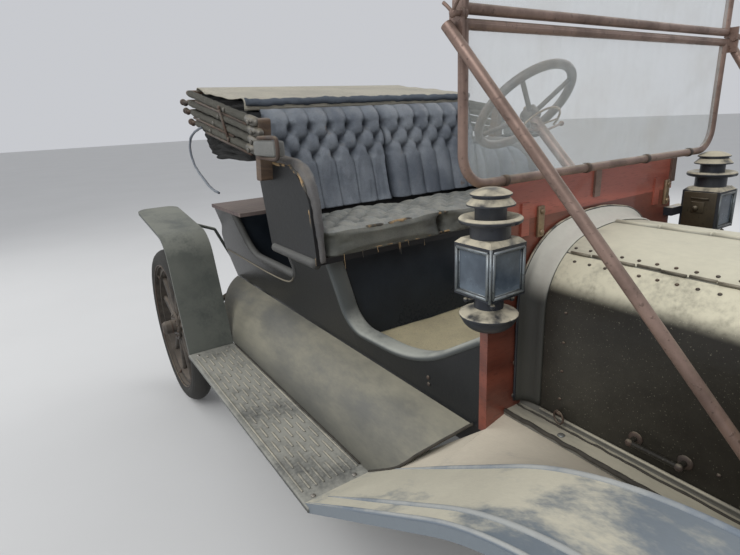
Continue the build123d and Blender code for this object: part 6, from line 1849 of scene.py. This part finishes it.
def dash_straps():
    """Straps with rounded ends, and two bolts in each."""
    parts = []
    for y, foot, head in STRAPS:
        low = (DASH_FRONT - 0.001, y - STRAP_HALF, foot)
        high = (TOP_BOARD_FRONT + 0.003, y + STRAP_HALF, head)
        heads = [(TOP_BOARD_FRONT + 0.004, y, z) for z in (foot + 0.013, head - 0.013)]
        parts += [rounded_block(low, high, 0.003), studs(heads, (0.005, 0.0075, 0.0075))]
    return merged(parts)


strap_brass = tarnished("strap brass", (0.36, 0.27, 0.17), (0.17, 0.12, 0.08), 0.4, 0.7, dust=0.2)
dash_bolts = studs([(DASH_FRONT + 0.001, y, z) for y, z in DASH_BOLTS], (0.004, 0.007, 0.007))
piece("dash_straps", dash_straps(), strap_brass)
piece("dash_bolts", dash_bolts, old_iron)

# %% Windshield wing nuts and glass clips
HINGE_PIN = (0.663, 0.544, 1.568)
WING = ((0.0, 0.004, 0.0), (0.010, 0.006, 0.012), (0.020, 0.007, 0.019))    # one ear's line from the pin
CLIP_TUBE = (0.645, 1.260)     # X and Z of the windshield's lower tube
CLIPS = (-0.384, -0.10, 0.16, 0.384)
CLIP_HALF = 0.006


def wing_nut():
    """A hub and two ears on the left hinge pin."""
    x, y, z = HINGE_PIN
    parts = [studs([(x, y + 0.003, z)], (0.0085, 0.006, 0.0085))]
    for way in (-1, 1):
        parts.append(tube([(x + way * ahead, y + out, z + up) for ahead, out, up in WING], 0.0034, sides=2))
    return merged(parts)


def glass_clips():
    """Small clamps round the windshield's lower tube."""
    x, z = CLIP_TUBE
    return merged([rod((x, y - CLIP_HALF, z), (x, y + CLIP_HALF, z), 0.0125, sides=3) for y in CLIPS])


pair("shield_nuts", wing_nut, tube_brass)
piece("shield_clips", glass_clips(), old_iron)

# %% Steering wheel nut and quadrant
COLUMN_FOOT = Vector((0.610, 0.215, 0.985))     # the column's axis at the dash
COLUMN_WAY = Vector((-1, 0, 1)).normalized()
COLUMN_UP = Vector((1, 0, 1)).normalized()
WHEEL_AT = 0.600
QUADRANT_AT = WHEEL_AT - 0.085
QUADRANT = 0.078


def column_place(along, across=0.0, up=0.0):
    """A point by its distance along the steering column, to the left of it, and square to both."""
    return COLUMN_FOOT + COLUMN_WAY * along + Vector((0, across, 0)) + COLUMN_UP * up


def steering_nut():
    """A broad washer and the nut on it."""
    foot = column_place(WHEEL_AT - 0.020)
    return merged([
        rod(foot, column_place(WHEEL_AT - 0.010), 0.0135, sides=1),
        rod(foot, column_place(WHEEL_AT - 0.002), 0.0075, sides=3),
    ])


def quadrant():
    """An arc under the wheel, on two thin arms."""
    turns = [radians(step) for step in range(-90, 91, 10)]
    arc = [column_place(QUADRANT_AT, QUADRANT * sin(turn), QUADRANT * cos(turn)) for turn in turns]
    arms = [rod(column_place(QUADRANT_AT), arc[index], 0.0030) for index in (2, -3)]
    return merged([tube(arc, 0.0038, sides=2), *arms])


piece("steering_nut", steering_nut(), strap_brass, body="steering_wheel")
piece("quadrant", quadrant(), strap_brass)

# %% [markdown]
# ## Floor, light and camera
#
# The floor is pale and plain. Three large soft lamps and an even sky light the car without hard shadows, at
# a level at which a colour shows about as it is written. The camera stands where the photograph's did,
# close to the right side of the hood and a little above the windshield's split, looking back and down.

# %% Floor and sky
FLOOR_REACH = 60.0
SKY_COLOUR = (0.93, 0.95, 1.0, 1.0)
SKY_STRENGTH = 0.62


def pale_floor():
    """A large plain floor."""
    bm = bmesh.new()
    bmesh.ops.create_grid(bm, x_segments=1, y_segments=1, size=FLOOR_REACH)
    mesh = bpy.data.meshes.new("floor")
    bm.to_mesh(mesh)
    bm.free()
    floor = bpy.data.objects.new("floor", mesh)
    bpy.context.scene.collection.objects.link(floor)
    finish = Finish("pale floor", rough=0.9)
    wear(floor, finish.paint(finish.mix(finish.clouds(0.8, 4.0), (0.60, 0.60, 0.59), (0.66, 0.66, 0.65))))


pale_floor()
world = bpy.data.worlds.new("studio")
bpy.context.scene.world = world
world.use_nodes = True
sky = world.node_tree.nodes["Background"]
sky.inputs["Color"].default_value = SKY_COLOUR
sky.inputs["Strength"].default_value = SKY_STRENGTH
print("sky strength:", SKY_STRENGTH)


# %% Lamps
LAMP_TARGET = Vector((0.0, 0.0, 0.8))


def soft_lamp(name, place, size, watts):
    """A square area lamp that looks at the car's middle."""
    light = bpy.data.lights.new(name, "AREA")
    light.size = size
    light.energy = watts
    lamp = bpy.data.objects.new(name, light)
    lamp.location = place
    lamp.rotation_euler = (LAMP_TARGET - Vector(place)).to_track_quat("-Z", "Y").to_euler()
    bpy.context.scene.collection.objects.link(lamp)


soft_lamp("key lamp", (2.5, -5.0, 5.5), 4.0, 230.0)
soft_lamp("side lamp light", (-4.5, -3.5, 4.0), 4.0, 90.0)
soft_lamp("back lamp", (-1.0, 6.0, 4.5), 5.0, 140.0)
print("lamps:", len(bpy.data.lights))

# %% Camera
EYE = Vector((1.3949, -1.2190, 1.3996))
YAW = radians(147.2)
PITCH = radians(17.4)
ROLL = radians(-3.0)
LENS = 24.675
SENSOR = 36.0


def photograph_camera():
    """The camera at the photograph's place."""
    ahead = Vector((cos(YAW) * cos(PITCH), sin(YAW) * cos(PITCH), -sin(PITCH)))
    level = ahead.cross(Vector((0, 0, 1))).normalized()
    upright = level.cross(ahead)
    right = level * cos(ROLL) + upright * sin(ROLL)
    up = upright * cos(ROLL) - level * sin(ROLL)
    data = bpy.data.cameras.new("camera")
    data.sensor_width = SENSOR
    data.lens = LENS
    data.clip_start = 0.02
    camera = bpy.data.objects.new("camera", data)
    turn = Matrix((right, up, -ahead)).transposed()
    camera.matrix_world = Matrix.Translation(EYE) @ turn.to_4x4()
    bpy.context.scene.collection.objects.link(camera)
    bpy.context.scene.camera = camera


photograph_camera()
bpy.context.scene.view_settings.view_transform = "Standard"
print("camera lens:", LENS, "mm")

# %% Update the scene at the end
bpy.context.view_layer.update()
